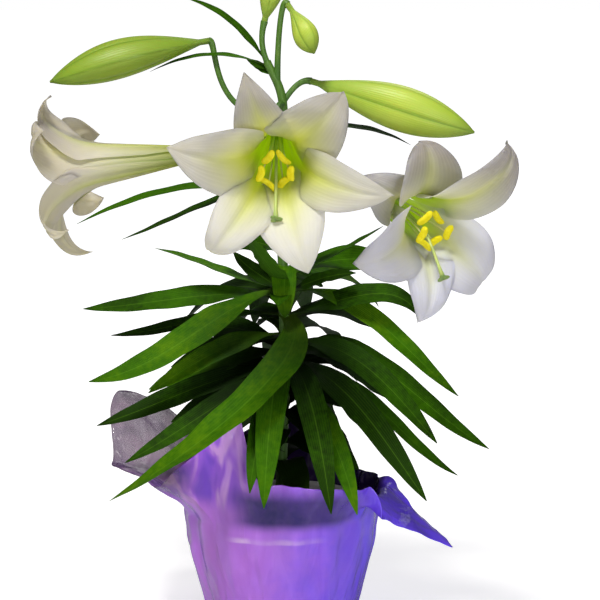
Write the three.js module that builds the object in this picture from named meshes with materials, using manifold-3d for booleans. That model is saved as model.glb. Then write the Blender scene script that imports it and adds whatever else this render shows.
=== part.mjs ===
// A potted trumpet lily: a bulb with one leafy stem, three open blooms and four buds, in a plastic pot
// that is dressed in a square of film, whose corners stand out round the rim as a collar.
// Millimetres, +Z up. The origin is the middle of the underside. +X is to the viewer's right, and -Y is
// towards the viewer. A bearing is an angle round the pot in degrees, from +X, so the viewer is at -90.
import * as THREE from "three";
import { mergeVertices } from "three/addons/utils/BufferGeometryUtils.js";
import Module from "manifold-3d";

const wasm = await Module();
wasm.setup();

const gap = 0.3; // between pieces that touch
const weld = 1e-3; // corners nearer than this are one corner
const evenOut = 0.2; // how far a joined body may be evened out

const pot = {
  height: 110,
  rimRadius: 76,
  baseRadius: 54,
  wall: 1.6,
  floor: 2,
  lip: { depth: 9, out: 1.5 },
  drain: { count: 5, radius: 5, circle: 36, sides: 8 },
  sides: 28,
};

const film = {
  thickness: 1,
  columns: 46,
  rimRadius: 80,
  drawnIn: { below: 4, by: 0.6 }, // under the pot's lip
  pleats: 18,
  pleatDepth: 1.1,
  wallLean: 12, // degrees out of the upright, where the collar starts
  earlyLean: 0.3, // share of the edge's lean that the collar has where it starts
  collarSteps: 5,
  pointSharpness: 1.3, // 1 is a corner with straight sides, and more draws it out
  fold: { height: 20, bend: 7, lean: 124 }, // where one corner is folded down, above the rim
};

// The collar's edge, in order round the pot: bearing, length above the rim and lean out of the upright.
// Three of the square's corners come to a point and one is a rounded lobe. The folded one hangs down.
const filmEdge = [
  { at: -160, length: 38, lean: 58 },
  { at: -113, length: 92, lean: -4, pointed: true },
  { at: -100, length: 41, lean: 8 },
  { at: -47, length: 44, lean: 40 },
  { at: -41, length: 40, lean: 30, folded: true },
  { at: -21, length: 95, lean: 10, folded: true, pointed: true },
  { at: 0, length: 30, lean: 12, folded: true },
  { at: 9, length: 20, lean: 12 },
  { at: 48, length: 16, lean: 14 },
  { at: 88, length: 64, lean: 45, pointed: true },
  { at: 124, length: 36, lean: 32 },
  { at: 156, length: 112, lean: 50 },
  { at: 178, length: 72, lean: 74 },
];

const potFoot = film.thickness + gap; // height of the pot's underside; soil and bulb are measured from it
const soil = { top: 102, mound: 5, room: 0.4, shoulder: 0.6, sides: 24 };
const bulb = {
  radius: 23,
  height: 38,
  floor: 22,
  scaleRows: 4,
  scalesRound: 9,
  scaleRelief: 1.6,
  rows: 8,
  sides: 16,
  pocketRows: 4,
};

const stem = {
  path: [
    [0, 0, potFoot + bulb.floor + bulb.height + gap],
    [0, 0, 130],
    [3, 0, 250],
    [0, 2, 370],
    [1, 2, 450],
    [-11, 2, 479],
  ],
  footRadius: 5.2,
  topRadius: 3.2,
  sides: 8,
  steps: 10,
};

// Leaves that the viewer sees. at: height of the root on the stem. towards, reach and tip: bearing, distance
// from the stem's foot and height of the point. rise and droop: slope at the root, up, and at the point, down.
// turn: how far round from its point's bearing a leaf leaves the stem. roll: how far the middle of a blade that
// lies across the view tilts its upper face towards the viewer, where it isn't the usual tilt.
const leaves = [
  { at: 287, towards: 172, reach: 167, tip: 273, rise: 5, droop: 4, width: 20 },
  { at: 296, towards: 201, reach: 163, tip: 229, rise: -12, droop: 4, width: 25 },
  { at: 272, towards: 164, reach: 150, tip: 247, rise: 4, droop: 6, width: 14 },
  { at: 256, towards: 197, reach: 112, tip: 214, rise: 0, droop: 30, width: 20 },
  { at: 230, towards: 188, reach: 152, tip: 184, rise: -6, droop: 16, width: 21 },
  { at: 272, towards: 217, reach: 167, tip: 143, rise: -10, droop: 30, width: 32, turn: 84, roll: 20 },
  { at: 230, towards: 207, reach: 139, tip: 164, rise: -18, droop: 24, width: 19, turn: 8 },
  { at: 216, towards: 258, reach: 112, tip: 152, rise: 14, droop: 62, width: 19 },
  { at: 240, towards: 264, reach: 117, tip: 142, rise: 18, droop: 68, width: 24 },
  { at: 230, towards: 289, reach: 122, tip: 137, rise: 18, droop: 66, width: 23 },
  { at: 206, towards: 301, reach: 117, tip: 132, rise: 20, droop: 64, width: 20 },
  { at: 236, towards: 316, reach: 158, tip: 146, rise: 0, droop: 42, width: 23 },
  { at: 290, towards: 346, reach: 148, tip: 212, rise: 12, droop: 38, width: 18 },
  { at: 246, towards: 333, reach: 140, tip: 180, rise: 20, droop: 46, width: 21 },
  { at: 248, towards: 351, reach: 172, tip: 166, rise: 14, droop: 28, width: 21 },
  { at: 222, towards: 3, reach: 148, tip: 134, rise: 12, droop: 30, width: 15 },
  { at: 272, towards: 342, reach: 118, tip: 276, rise: 12, droop: 62, width: 21 },
  { at: 294, towards: 250, reach: 66, tip: 346, rise: 36, droop: -50, width: 26 },
  { at: 290, towards: 170, reach: 40, tip: 324, rise: 40, droop: -52, width: 15 },
  { at: 293, towards: 178, reach: 103, tip: 327, rise: 10, droop: -14, width: 15, roll: 12 },
  { at: 378, towards: 172, reach: 133, tip: 332, rise: -6, droop: 20, width: 12, roll: 20 },
  { at: 376, towards: 187, reach: 165, tip: 350, rise: 8, droop: 26, width: 12, roll: 20 },
  { at: 302, towards: 355, reach: 84, tip: 347, rise: 26, droop: -34, width: 15, roll: 8 },
  { at: 290, towards: 333, reach: 68, tip: 312, rise: 22, droop: -6, width: 14 },
  { at: 330, towards: 318, reach: 60, tip: 362, rise: 34, droop: 40, width: 13 },
  { at: 420, towards: 4, reach: 106, tip: 411, rise: 14, droop: 28, width: 10, roll: 20 },
  { at: 312, towards: 276, reach: 34, tip: 276, rise: 20, droop: 60, width: 20 },
];

// Narrow leaves under the flower stalks at the top of the stem.
const bracts = [
  { at: 470, towards: 178, reach: 76, tip: 529, rise: 58, droop: -14, width: 7 },
  { at: 474, towards: 176, reach: 106, tip: 470, rise: 24, droop: 26, width: 8, roll: 20 },
  { at: 466, towards: 150, reach: 32, tip: 480, rise: 30, droop: -20, width: 8 },
];

// Leaves on the far side, under those and low on the stem. A group follows one rule: each leaf is a golden
// angle on from the last and a little lower. fall: height of the root above the point. vary: how uneven reach
// and fall are. rows: steps along a blade, fewer than usual.
const leafGroups = [
  {
    count: 11, from: 24, span: 124, top: 302, bottom: 226, reach: 150, fall: 42, vary: 14,
    blade: { rise: 26, droop: 44, width: 26, rows: 4 },
  },
  {
    count: 10, from: 12, span: 156, top: 236, bottom: 184, reach: 102, fall: 30, vary: 5,
    blade: { rise: 26, droop: 44, width: 25, rows: 4 },
  },
  {
    count: 12, from: 0, span: 360, top: 206, bottom: 146, reach: 66, fall: 16, vary: 3,
    blade: { rise: 36, droop: 30, width: 25, rows: 4 },
  },
  {
    count: 4, from: 190, span: 330, top: 322, bottom: 262, reach: 50, fall: 2, vary: 8,
    blade: { rise: 44, droop: 24, width: 19, rows: 4 },
  },
];
const goldenShare = 0.618034;

const leaf = {
  rows: 6,
  tilt: 48,
  thickness: 1.7,
  crown: 0.2, // how far the blade's middle stands above its line
  channel: 0.22,
  ripple: 0.045,
  ripples: 2.6,
  footShare: 0.42, // width at the root, as a share of the widest
  widest: 0.36,
  handle: 0.38, // how far the slopes at the root and the point reach, as a share of the length
};

// The blooms: where the flower meets its stalk, which way it faces, and its six petals, broad inner and narrow
// outer ones by turns. A petal has its angle round the flower, the turn of its point away from the axis, its
// length as a share of the usual one, and how far the last of it curls on.
const blooms = {
  front: {
    base: [-2, -50, 431],
    faces: { bearing: -90, pitch: -11 },
    petals: [
      [50, 126, 1.05, 44],
      [106, 106, 1.02, 10],
      [164, 108, 1.07, 14],
      [230, 112, 1.1, 60],
      [288, 106, 1.04, 8],
      [351, 112, 1.12, 16],
    ],
    stalk: { from: 444, bow: [-5, -18, 448] },
  },
  left: {
    base: [-69, 8, 404],
    faces: { bearing: 172, pitch: -7 },
    petals: [
      [34, 104, 0.95, 70],
      [68, 104, 0.92, 60],
      [158, 160, 0.98, 70],
      [213, 160, 1, 80],
      [254, 164, 1.1, 24],
      [314, 138, 1.02, 80],
    ],
    stalk: { from: 432, bow: [-30, 4, 424] },
  },
  right: {
    base: [70, -30, 381],
    faces: { bearing: -64, pitch: -10 },
    petals: [
      [96, 164, 0.87, 40],
      [146, 150, 0.74, 30],
      [199, 124, 0.99, 40],
      [264, 126, 0.98, 24],
      [315, 145, 0.97, 30],
      [57, 124, 1.15, 56],
    ],
    stalk: { from: 424, bow: [28, -10, 412] },
  },
};

const petal = {
  length: 166,
  rows: 7,
  across: 4,
  thickness: 1.2,
  cup: { radius: 7.2, height: 8 }, // where the petals join
  footRadius: 4.6,
  footAngle: 8, // degrees out of the axis
  flareFrom: 0.44, // share of the length that is tube
  flareEase: 1.45,
  innerWidth: 57,
  outerWidth: 43,
  layer: 1.9, // how far the outer petals stand out from the inner ones
  footShare: 0.2,
  widest: 0.68,
  taper: { start: 1.7, end: 0.95 }, // past the widest: how late a petal narrows, and how sharp its point is
  curlFrom: 0.8, // share of the length where the point starts to curl
  openedBy: 0.85, // share of the length from which a petal lies open
  openRadius: 70,
  furthestTurn: 0.8, // how far a petal wraps round the axis to either side, in radians
  ripple: 1.6,
};

const stamen = {
  reach: 103,
  spread: 10.5,
  sag: 5.2,
  radius: 0.9,
  anther: { length: 11, radius: 2.3 },
  ring: { radius: 3.6, wall: 1.4, height: 2, sides: 7 },
};
const pistil = {
  ovary: { radius: 2, length: 30 },
  styleRadius: 1.2,
  reach: 126,
  sag: 34,
  stigma: { lobe: 2.6, circle: 2.1 },
};

const buds = {
  left: {
    base: [-57, 10, 495],
    tip: [-184, -10, 463],
    radius: 15.5,
    bend: 4,
    widest: 1.25,
    stalk: { from: 436, bow: [-60, 6, 428], lead: 8 },
  },
  right: {
    base: [24, 5, 463],
    tip: [154, -25, 424],
    radius: 18,
    bend: 1,
    widest: 1.25,
    stalk: { from: 446, bow: [4, 4, 448], lead: 12 },
  },
  top: {
    base: [-13, 2, 510],
    tip: [4, 4, 571],
    radius: 10.5,
    bend: 1,
    widest: 1.1,
    stalk: { from: 472, bow: [-17, 2, 488], lead: 10 },
  },
  nodding: {
    base: [5, -7, 525],
    tip: [27, -20, 486],
    radius: 10,
    bend: 2,
    widest: 1.7,
    stalk: { from: 462, bow: [-2, -7, 510], lead: 7 },
  },
};
const bud = { rows: 9, sides: 12, ridge: 0.06 };
const stalk = { radius: 2.3, neck: 0.35, sides: 6, steps: 5 };

const materials = {
  film: new THREE.MeshStandardMaterial({ color: 0x8d5fd0, roughness: 0.28, metalness: 0 }),
  potPlastic: new THREE.MeshStandardMaterial({ color: 0xe9e6e4, roughness: 0.5, metalness: 0 }),
  soil: new THREE.MeshStandardMaterial({ color: 0x2b1d14, roughness: 1, metalness: 0 }),
  bulb: new THREE.MeshStandardMaterial({ color: 0xe2d3a4, roughness: 0.6, metalness: 0 }),
  foliage: new THREE.MeshStandardMaterial({ color: 0x2c6a10, roughness: 0.42, metalness: 0 }),
  petals: new THREE.MeshStandardMaterial({ color: 0xefece2, roughness: 0.5, metalness: 0 }),
  stamens: new THREE.MeshStandardMaterial({ color: 0xd8c22c, roughness: 0.7, metalness: 0 }),
  pistil: new THREE.MeshStandardMaterial({ color: 0xb9cf7e, roughness: 0.45, metalness: 0 }),
  buds: new THREE.MeshStandardMaterial({ color: 0xa6bf4a, roughness: 0.45, metalness: 0 }),
};

const radians = THREE.MathUtils.degToRad;
const { lerp, smoothstep } = THREE.MathUtils;
const vector = (point) => new THREE.Vector3(...point);

// A direction from its bearing and its slope above the level.
function heading(bearing, slope) {
  const level = Math.cos(radians(slope));
  return new THREE.Vector3(
    level * Math.cos(radians(bearing)),
    level * Math.sin(radians(bearing)),
    Math.sin(radians(slope)),
  );
}

function trianglesToGeometry(positions) {
  const geometry = new THREE.BufferGeometry();
  geometry.setAttribute("position", new THREE.Float32BufferAttribute(positions, 3));
  return mergeVertices(geometry, weld);
}

function toSolid(geometry) {
  const bare = geometry.clone();
  bare.deleteAttribute("normal");
  bare.deleteAttribute("uv");
  const merged = mergeVertices(bare, weld);
  const mesh = new wasm.Mesh({
    numProp: 3,
    vertProperties: merged.attributes.position.array,
    triVerts: new Uint32Array(merged.index.array),
  });
  return new wasm.Manifold(mesh);
}

function toGeometry(solid) {
  const { numProp, vertProperties, triVerts } = solid.getMesh();
  const geometry = new THREE.BufferGeometry();
  const positions = new Float32Array((vertProperties.length / numProp) * 3);
  for (let i = 0; i < positions.length / 3; i++) {
    positions.set(vertProperties.subarray(i * numProp, i * numProp + 3), i * 3);
  }
  geometry.setAttribute("position", new THREE.BufferAttribute(positions, 3));
  geometry.setIndex(new THREE.BufferAttribute(triVerts, 1));
  return geometry;
}

// Joins pieces into one body. Pockets that crossing pieces shut in are filled.
function fuse(geometries) {
  const joined = geometries.map(toSolid).reduce((body, piece) => body.add(piece));
  const whole = toGeometry(joined.simplify(evenOut));
  const shellOf = Array.from({ length: whole.attributes.position.count }, (_, i) => i);
  const find = (i) => {
    while (shellOf[i] !== i) i = shellOf[i] = shellOf[shellOf[i]];
    return i;
  };
  const corners = whole.index.array;
  const point = (i) => new THREE.Vector3().fromBufferAttribute(whole.attributes.position, i);
  for (let t = 0; t < corners.length; t += 3) {
    shellOf[find(corners[t])] = find(corners[t + 1]);
    shellOf[find(corners[t + 1])] = find(corners[t + 2]);
  }
  const volumes = new Map();
  for (let t = 0; t < corners.length; t += 3) {
    const shell = find(corners[t]);
    const volume = point(corners[t]).dot(point(corners[t + 1]).cross(point(corners[t + 2]))) / 6;
    volumes.set(shell, (volumes.get(shell) ?? 0) + volume);
  }
  const kept = [];
  for (let t = 0; t < corners.length; t += 3) {
    if (volumes.get(find(corners[t])) > 0) kept.push(...corners.subarray(t, t + 3));
  }
  whole.setIndex(kept);
  return whole;
}

// Gathers triangles, leaving out those that have shrunk to an edge or a point.
function addTriangle(positions, ...corners) {
  const same = (a, b) => a.distanceTo(b) < weld;
  const [a, b, c] = corners;
  if (same(a, b) || same(b, c) || same(c, a)) return;
  corners.forEach((corner) => positions.push(corner.x, corner.y, corner.z));
}

// A closed skin over a row of rings that run anticlockwise round their path. Each end closes on its middle.
function loft(rings) {
  const positions = [];
  const middle = (ring) => ring.reduce((sum, p) => sum.add(p), new THREE.Vector3()).divideScalar(ring.length);
  const last = rings.at(-1);
  const [start, end] = [middle(rings[0]), middle(last)];
  rings[0].forEach((here, k) => {
    const next = (k + 1) % rings[0].length;
    addTriangle(positions, start, rings[0][next], here);
    addTriangle(positions, end, last[k], last[next]);
    for (let i = 0; i + 1 < rings.length; i++) {
      const [a, b, c, d] = [rings[i][k], rings[i][next], rings[i + 1][k], rings[i + 1][next]];
      addTriangle(positions, a, b, d);
      addTriangle(positions, a, d, c);
    }
  });
  return trianglesToGeometry(positions);
}

// A closed thin body between two faces, each a list of rows of points. Both faces are split along the same
// diagonals. A ring-shaped body has its last column next to its first.
function slab(upper, lower, ringShaped = false) {
  const positions = [];
  const rows = upper.length;
  const columns = upper[0].length;
  const steps = ringShaped ? columns : columns - 1;
  for (let i = 0; i + 1 < rows; i++) {
    for (let j = 0; j < steps; j++) {
      const next = (j + 1) % columns;
      for (const [face, up] of [[upper, true], [lower, false]]) {
        const [a, b, c, d] = [face[i][j], face[i][next], face[i + 1][j], face[i + 1][next]];
        if (up) {
          addTriangle(positions, a, d, b);
          addTriangle(positions, a, c, d);
        } else {
          addTriangle(positions, a, b, d);
          addTriangle(positions, a, d, c);
        }
      }
    }
  }
  const edge = (first, second, under, underNext) => {
    addTriangle(positions, first, second, under);
    addTriangle(positions, second, underNext, under);
  };
  for (let j = 0; j < steps; j++) {
    const next = (j + 1) % columns;
    edge(upper[0][j], upper[0][next], lower[0][j], lower[0][next]);
    edge(upper[rows - 1][next], upper[rows - 1][j], lower[rows - 1][next], lower[rows - 1][j]);
  }
  if (!ringShaped) {
    for (let i = 0; i + 1 < rows; i++) {
      edge(upper[i + 1][0], upper[i][0], lower[i + 1][0], lower[i][0]);
      edge(upper[i][columns - 1], upper[i + 1][columns - 1], lower[i][columns - 1], lower[i + 1][columns - 1]);
    }
  }
  return trianglesToGeometry(positions);
}

// A round bar along a curve, with the radius a function of the share of its length.
function bar(curve, radiusAt, sides, steps) {
  const frames = curve.computeFrenetFrames(steps);
  const rings = [];
  for (let i = 0; i <= steps; i++) {
    const middle = curve.getPointAt(i / steps);
    const ring = [];
    for (let k = 0; k < sides; k++) {
      const angle = (2 * Math.PI * k) / sides;
      ring.push(
        middle
          .clone()
          .addScaledVector(frames.normals[i], radiusAt(i / steps) * Math.cos(angle))
          .addScaledVector(frames.binormals[i], radiusAt(i / steps) * Math.sin(angle)),
      );
    }
    rings.push(ring);
  }
  return loft(rings);
}

// A profile of [radius, height] points turned round the upright axis.
function turned(profile, sides) {
  const points = profile.map(([radius, height]) => new THREE.Vector2(radius, height));
  return new THREE.LatheGeometry(points, sides).rotateX(Math.PI / 2);
}

function makePot() {
  const { height, rimRadius, baseRadius, wall, floor, lip, drain, sides } = pot;
  const lean = (rimRadius - baseRadius) / height;
  const outerAt = (z) => baseRadius + lean * z;
  const profile = [
    [0, 0],
    [baseRadius, 0],
    [outerAt(height - lip.depth), height - lip.depth],
    [rimRadius + lip.out, height - lip.depth],
    [rimRadius + lip.out, height],
    [rimRadius - wall, height],
    [outerAt(floor) - wall, floor],
    [0, floor],
  ];
  const holes = [];
  for (let i = 0; i < drain.count; i++) {
    const angle = (2 * Math.PI * i) / drain.count;
    const hole = new THREE.CylinderGeometry(drain.radius, drain.radius, 4 * floor, drain.sides);
    hole.rotateX(Math.PI / 2);
    holes.push(hole.translate(drain.circle * Math.cos(angle), drain.circle * Math.sin(angle), 0));
  }
  const body = holes.reduce((left, hole) => left.subtract(toSolid(hole)), toSolid(turned(profile, sides)));
  return toGeometry(body);
}

const bulbRadiusAt = (share) => bulb.radius * Math.sin(Math.PI * (0.1 + 0.8 * share) ** 0.85) ** 0.6;

function makeBulb() {
  const rings = [];
  for (let i = 0; i <= bulb.rows; i++) {
    const share = i / bulb.rows;
    const row = Math.floor(share * bulb.scaleRows);
    const upRow = share * bulb.scaleRows - row;
    const ring = [];
    for (let k = 0; k < bulb.sides; k++) {
      const angle = (2 * Math.PI * k) / bulb.sides;
      const across = Math.abs(Math.sin((bulb.scalesRound * angle) / 2 + (row % 2) * (Math.PI / 2)));
      const radius = bulbRadiusAt(share) - bulb.scaleRelief * (1 - across * (1 - 0.7 * upRow));
      ring.push(new THREE.Vector3(radius * Math.cos(angle), radius * Math.sin(angle), share * bulb.height));
    }
    rings.push(ring);
  }
  return loft(rings);
}

// Fills the pot below its rim, with a pocket round the bulb and a plain hole for the stem.
function makeSoil() {
  const floor = pot.floor + gap;
  const innerAt = (z) => lerp(pot.baseRadius, pot.rimRadius, z / pot.height) - pot.wall - gap - soil.room;
  const hole = stem.footRadius + 2 * gap;
  const pocket = [];
  for (let i = bulb.pocketRows; i >= 0; i--) {
    const share = i / bulb.pocketRows;
    const z = bulb.floor - gap + share * (bulb.height + 2 * gap);
    pocket.push([Math.max(bulbRadiusAt(share) + 2 * gap, hole), z]);
  }
  const profile = [
    [0, floor],
    [innerAt(floor), floor],
    [innerAt(soil.top), soil.top],
    [soil.shoulder * innerAt(soil.top), soil.top + 0.6 * soil.mound],
    [hole, soil.top + soil.mound],
    [hole, bulb.floor + bulb.height + 2 * gap],
    ...pocket,
    [0, bulb.floor - gap],
  ];
  return turned(profile, soil.sides);
}

// The collar's length and lean at a bearing, between the two stations of its edge on either side.
function edgeAt(bearing) {
  const turnFrom = (station) => THREE.MathUtils.euclideanModulo(bearing - station.at, 360);
  const before = filmEdge.reduce((best, station) => (turnFrom(station) < turnFrom(best) ? station : best));
  const after = filmEdge[(filmEdge.indexOf(before) + 1) % filmEdge.length];
  const share = turnFrom(before) / THREE.MathUtils.euclideanModulo(after.at - before.at, 360);
  const eased = smoothstep(share, 0, 1);
  let lengthShare = eased;
  if (before.pointed) lengthShare = 1 - (1 - share) ** film.pointSharpness;
  if (after.pointed) lengthShare = share ** film.pointSharpness;
  return {
    length: lerp(before.length, after.length, lengthShare),
    lean: lerp(before.lean, after.lean, eased),
    folded: lerp(Number(before.folded ?? 0), Number(after.folded ?? 0), eased),
  };
}

// The film's middle line at a bearing, from the middle of the base to the collar's edge, as [radius, height].
function filmLine(bearing) {
  const { fold, drawnIn, rimRadius, collarSteps } = film;
  const half = film.thickness / 2;
  const baseRadius = pot.baseRadius + half + 2 * gap;
  const lipFoot = potFoot + pot.height - pot.lip.depth - drawnIn.below;
  const rimHeight = potFoot + pot.height;
  const pleat = film.pleatDepth * Math.cos(radians(bearing * film.pleats));
  const line = [
    [0, half],
    [baseRadius, half],
    [lerp(baseRadius, rimRadius, 0.5) + 0.4 * pleat, 0.5 * lipFoot],
    [rimRadius - drawnIn.by + pleat, lipFoot],
    [rimRadius + pleat, rimHeight],
  ];
  const { length, lean, folded } = edgeAt(bearing);
  const firstLean = lerp(film.wallLean, lean, film.earlyLean);
  let [radius, height] = line.at(-1);
  for (let i = 1; i <= collarSteps; i++) {
    const along = (i - 0.5) / collarSteps;
    const pastFold = folded * smoothstep(along * length, fold.height - fold.bend, fold.height + fold.bend);
    const angle = radians(lerp(lerp(firstLean, lean, 1 - (1 - along) ** 2), fold.lean, pastFold));
    radius += (length / collarSteps) * Math.sin(angle);
    height += (length / collarSteps) * Math.cos(angle);
    line.push([radius, height]);
  }
  return line;
}

// A line moved sideways, to its left or, with a negative distance, to its right.
function offsetLine(line, distance) {
  const points = line.map(([x, y]) => new THREE.Vector2(x, y));
  const normals = points.slice(1).map((p, i) => {
    const along = p.clone().sub(points[i]).normalize();
    return new THREE.Vector2(-along.y, along.x);
  });
  return points.map((p, i) => {
    const before = normals[Math.max(i - 1, 0)];
    const after = normals[Math.min(i, normals.length - 1)];
    const mid = before.clone().add(after).normalize();
    return p.clone().addScaledVector(mid, distance / Math.max(mid.dot(after), 0.5));
  });
}

function makeFilm() {
  const [inner, outer] = [1, -1].map((side) => {
    const columns = [];
    for (let j = 0; j < film.columns; j++) {
      const bearing = (360 * j) / film.columns;
      const line = offsetLine(filmLine(bearing), (side * film.thickness) / 2);
      line[0].x = 0;
      columns.push(
        line.map(({ x, y }) => {
          const angle = radians(bearing);
          return new THREE.Vector3(x * Math.cos(angle), x * Math.sin(angle), y);
        }),
      );
    }
    return columns[0].map((_, i) => columns.map((column) => column[i]));
  });
  return slab(inner, outer, true);
}

const stemCurve = new THREE.CatmullRomCurve3(stem.path.map(vector));

// The point on the stem's middle line at a height.
function stemAt(height) {
  let [low, high] = [0, 1];
  for (let i = 0; i < 30; i++) {
    const middle = (low + high) / 2;
    if (stemCurve.getPoint(middle).z < height) low = middle;
    else high = middle;
  }
  return stemCurve.getPoint(low);
}

const stemRadiusAt = (share) => lerp(stem.footRadius, stem.topRadius, share);

// Half the width of a leaf, as a share of its widest: a narrow foot, widest near a third, a long point.
function leafWidthAt(share) {
  const { widest, footShare } = leaf;
  if (share < widest) return lerp(footShare, 1, smoothstep(share / widest, 0, 1));
  const past = (share - widest) / (1 - widest);
  return (1 - past ** 2.8) ** 0.85;
}

function leafCurve({ at, towards, reach, tip, rise, droop, turn = 0 }) {
  const root = stemAt(at);
  const point = vector([reach * Math.cos(radians(towards)), reach * Math.sin(radians(towards)), tip]);
  const handle = leaf.handle * root.distanceTo(point);
  return new THREE.CubicBezierCurve3(
    root,
    root.clone().addScaledVector(heading(towards + turn, rise), handle),
    point.clone().addScaledVector(heading(towards - 0.8 * turn, -droop), -handle),
    point,
  );
}

// A blade channelled along its middle, with both faces meeting in thin, slightly rippled edges.
function makeLeaf(spec) {
  const curve = leafCurve(spec);
  const tilt = (spec.roll ?? leaf.tilt) * Math.cos(radians(spec.towards));
  const upper = [];
  const lower = [];
  const rows = spec.rows ?? leaf.rows;
  for (let i = 0; i <= rows; i++) {
    const share = i / rows;
    const along = curve.getTangent(share);
    const flat = new THREE.Vector3(-along.y, along.x, 0).normalize();
    const across = flat.applyAxisAngle(along, radians(tilt) * smoothstep(share, 0, 0.4));
    const up = new THREE.Vector3().crossVectors(along, across);
    const half = Math.max((spec.width / 2) * leafWidthAt(share), 0.5);
    const wave = Math.sin(2 * Math.PI * leaf.ripples * share + spec.at);
    const ripple = leaf.ripple * spec.width * wave * (1 - share);
    const rise = half * leaf.channel;
    const middle = curve.getPoint(share);
    const place = (side, lift) => middle.clone().addScaledVector(across, side * half).addScaledVector(up, lift);
    const [left, right] = [place(-1, rise + ripple), place(1, rise - ripple)];
    const thickness = leaf.thickness * (1 - 0.5 * share);
    upper.push([left, place(0, leaf.crown), right]);
    lower.push([left, place(0, leaf.crown - thickness), right]);
  }
  return slab(upper, lower);
}

// The seen leaves, and the groups that follow the spiral rule.
function leafSpecs() {
  const specs = [...leaves, ...bracts];
  for (const { count, from, span, top, bottom, reach, fall, vary, blade } of leafGroups) {
    for (let i = 0; i < count; i++) {
      const at = lerp(top, bottom, i / (count - 1));
      specs.push({
        at,
        towards: from + span * ((i * goldenShare) % 1),
        reach: reach + vary * Math.sin(5 * i),
        tip: at - fall + vary * Math.cos(3 * i),
        ...blade,
      });
    }
  }
  return specs;
}

// A flower stalk from the stem to a bud or bloom, which it meets square on after a straight lead.
function makeStalk({ from, bow, lead = 24 }, end, facing) {
  const root = stemAt(from);
  const neck = end.clone().addScaledVector(facing, -gap);
  const curve = new THREE.CubicBezierCurve3(
    root,
    vector(bow),
    neck.clone().addScaledVector(facing, -lead),
    neck,
  );
  return bar(curve, (share) => stalk.radius * (1 + stalk.neck * share ** 6), stalk.sides, stalk.steps);
}

const budFacing = ({ base, tip }) => vector(tip).sub(vector(base)).normalize();

// A club-shaped bud with three ridges, bowed upwards along its length.
function makeBud({ base, tip, radius, bend, widest }) {
  const axis = budFacing({ base, tip });
  const side = new THREE.Vector3(-axis.y, axis.x, 0).normalize();
  const up = new THREE.Vector3().crossVectors(axis, side);
  const length = vector(base).distanceTo(vector(tip));
  const rings = [];
  for (let i = 0; i <= bud.rows; i++) {
    const share = i / bud.rows;
    const girth = Math.max(radius * Math.sin(Math.PI * share ** widest) ** 0.8, 2.6 - 1.8 * share);
    const middle = vector(base)
      .addScaledVector(axis, share * length)
      .addScaledVector(up, bend * Math.sin(Math.PI * share));
    const ring = [];
    for (let k = 0; k < bud.sides; k++) {
      const angle = (2 * Math.PI * k) / bud.sides;
      const ridged = girth * (1 + bud.ridge * Math.cos(3 * angle));
      ring.push(
        middle
          .clone()
          .addScaledVector(side, ridged * Math.cos(angle))
          .addScaledVector(up, ridged * Math.sin(angle)),
      );
    }
    rings.push(ring);
  }
  return loft(rings);
}

// In a bloom's own frame +Z runs out of the trumpet, +Y is up and +X across.

// The middle line of a petal as [distance from the axis, distance along it], with its slope at each row.
function petalLine(recurve, curl, length, layer) {
  const step = length / petal.rows;
  let [out, along] = [petal.footRadius + layer, petal.cup.height / 4];
  const line = [];
  for (let i = 0; i <= petal.rows; i++) {
    const slopeAt = (share) => {
      const flare = Math.max(0, (share - petal.flareFrom) / (1 - petal.flareFrom));
      const turned = lerp(petal.footAngle, recurve, flare ** petal.flareEase);
      return radians(turned + curl * smoothstep(share, petal.curlFrom, 1));
    };
    line.push({ out, along, slope: slopeAt(i / petal.rows) });
    const angle = slopeAt((i + 0.5) / petal.rows);
    out += step * Math.sin(angle);
    along += step * Math.cos(angle);
  }
  return line;
}

function petalHalfWidthAt(share, width) {
  const { widest, taper, footShare } = petal;
  const half = width / 2;
  if (share < widest) return half * lerp(footShare, 1, smoothstep(share / widest, 0, 1));
  const past = (share - widest) / (1 - widest);
  return Math.max(half * (1 - past ** taper.start) ** taper.end, 0.4);
}

// A petal wraps round the tube at its foot and opens almost flat where the trumpet flares.
function makePetal([bearing, recurve, longer, curl], index) {
  const inner = index % 2 === 0;
  const width = inner ? petal.innerWidth : petal.outerWidth;
  const line = petalLine(recurve, curl, longer * petal.length, inner ? 0 : petal.layer);
  const middleWay = heading(bearing, 0);
  const across = heading(bearing + 90, 0);
  const upper = [];
  const lower = [];
  line.forEach(({ out, along, slope }, i) => {
    const share = i / petal.rows;
    const half = petalHalfWidthAt(share, width);
    const opened = smoothstep(share, petal.flareFrom, petal.openedBy);
    const bend = lerp(1 / out, 1 / petal.openRadius, opened);
    const inwards = middleWay.clone().multiplyScalar(-Math.cos(slope)).setZ(Math.sin(slope));
    const rows = [upper, lower].map((face) => face[face.push([]) - 1]);
    for (let j = 0; j <= petal.across; j++) {
      const side = (2 * j) / petal.across - 1;
      const turn = Math.min(half * bend, petal.furthestTurn) * side;
      const ripple = petal.ripple * side ** 2 * opened * Math.sin(9 * share + 2 * index + 2 * side);
      const lift = (1 - Math.cos(turn)) / bend + ripple;
      const middle = vector([out * middleWay.x, out * middleWay.y, along])
        .addScaledVector(across, Math.sin(turn) / bend)
        .addScaledVector(inwards, lift);
      const thickness = Math.abs(side) === 1 ? 0 : petal.thickness;
      rows[0].push(middle.clone().addScaledVector(inwards, thickness / 2));
      rows[1].push(middle.clone().addScaledVector(inwards, -thickness / 2));
    }
  });
  return slab(upper, lower);
}

function makeBloom({ petals }) {
  const { radius, height } = petal.cup;
  const cup = new THREE.SphereGeometry(radius, 12, 6).rotateX(Math.PI / 2).scale(1, 1, height / radius / 2);
  return fuse([cup.translate(0, 0, height / 2), ...petals.map(makePetal)]);
}

const tubeFloor = petal.cup.height + gap; // where the inside of the tube starts

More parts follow.
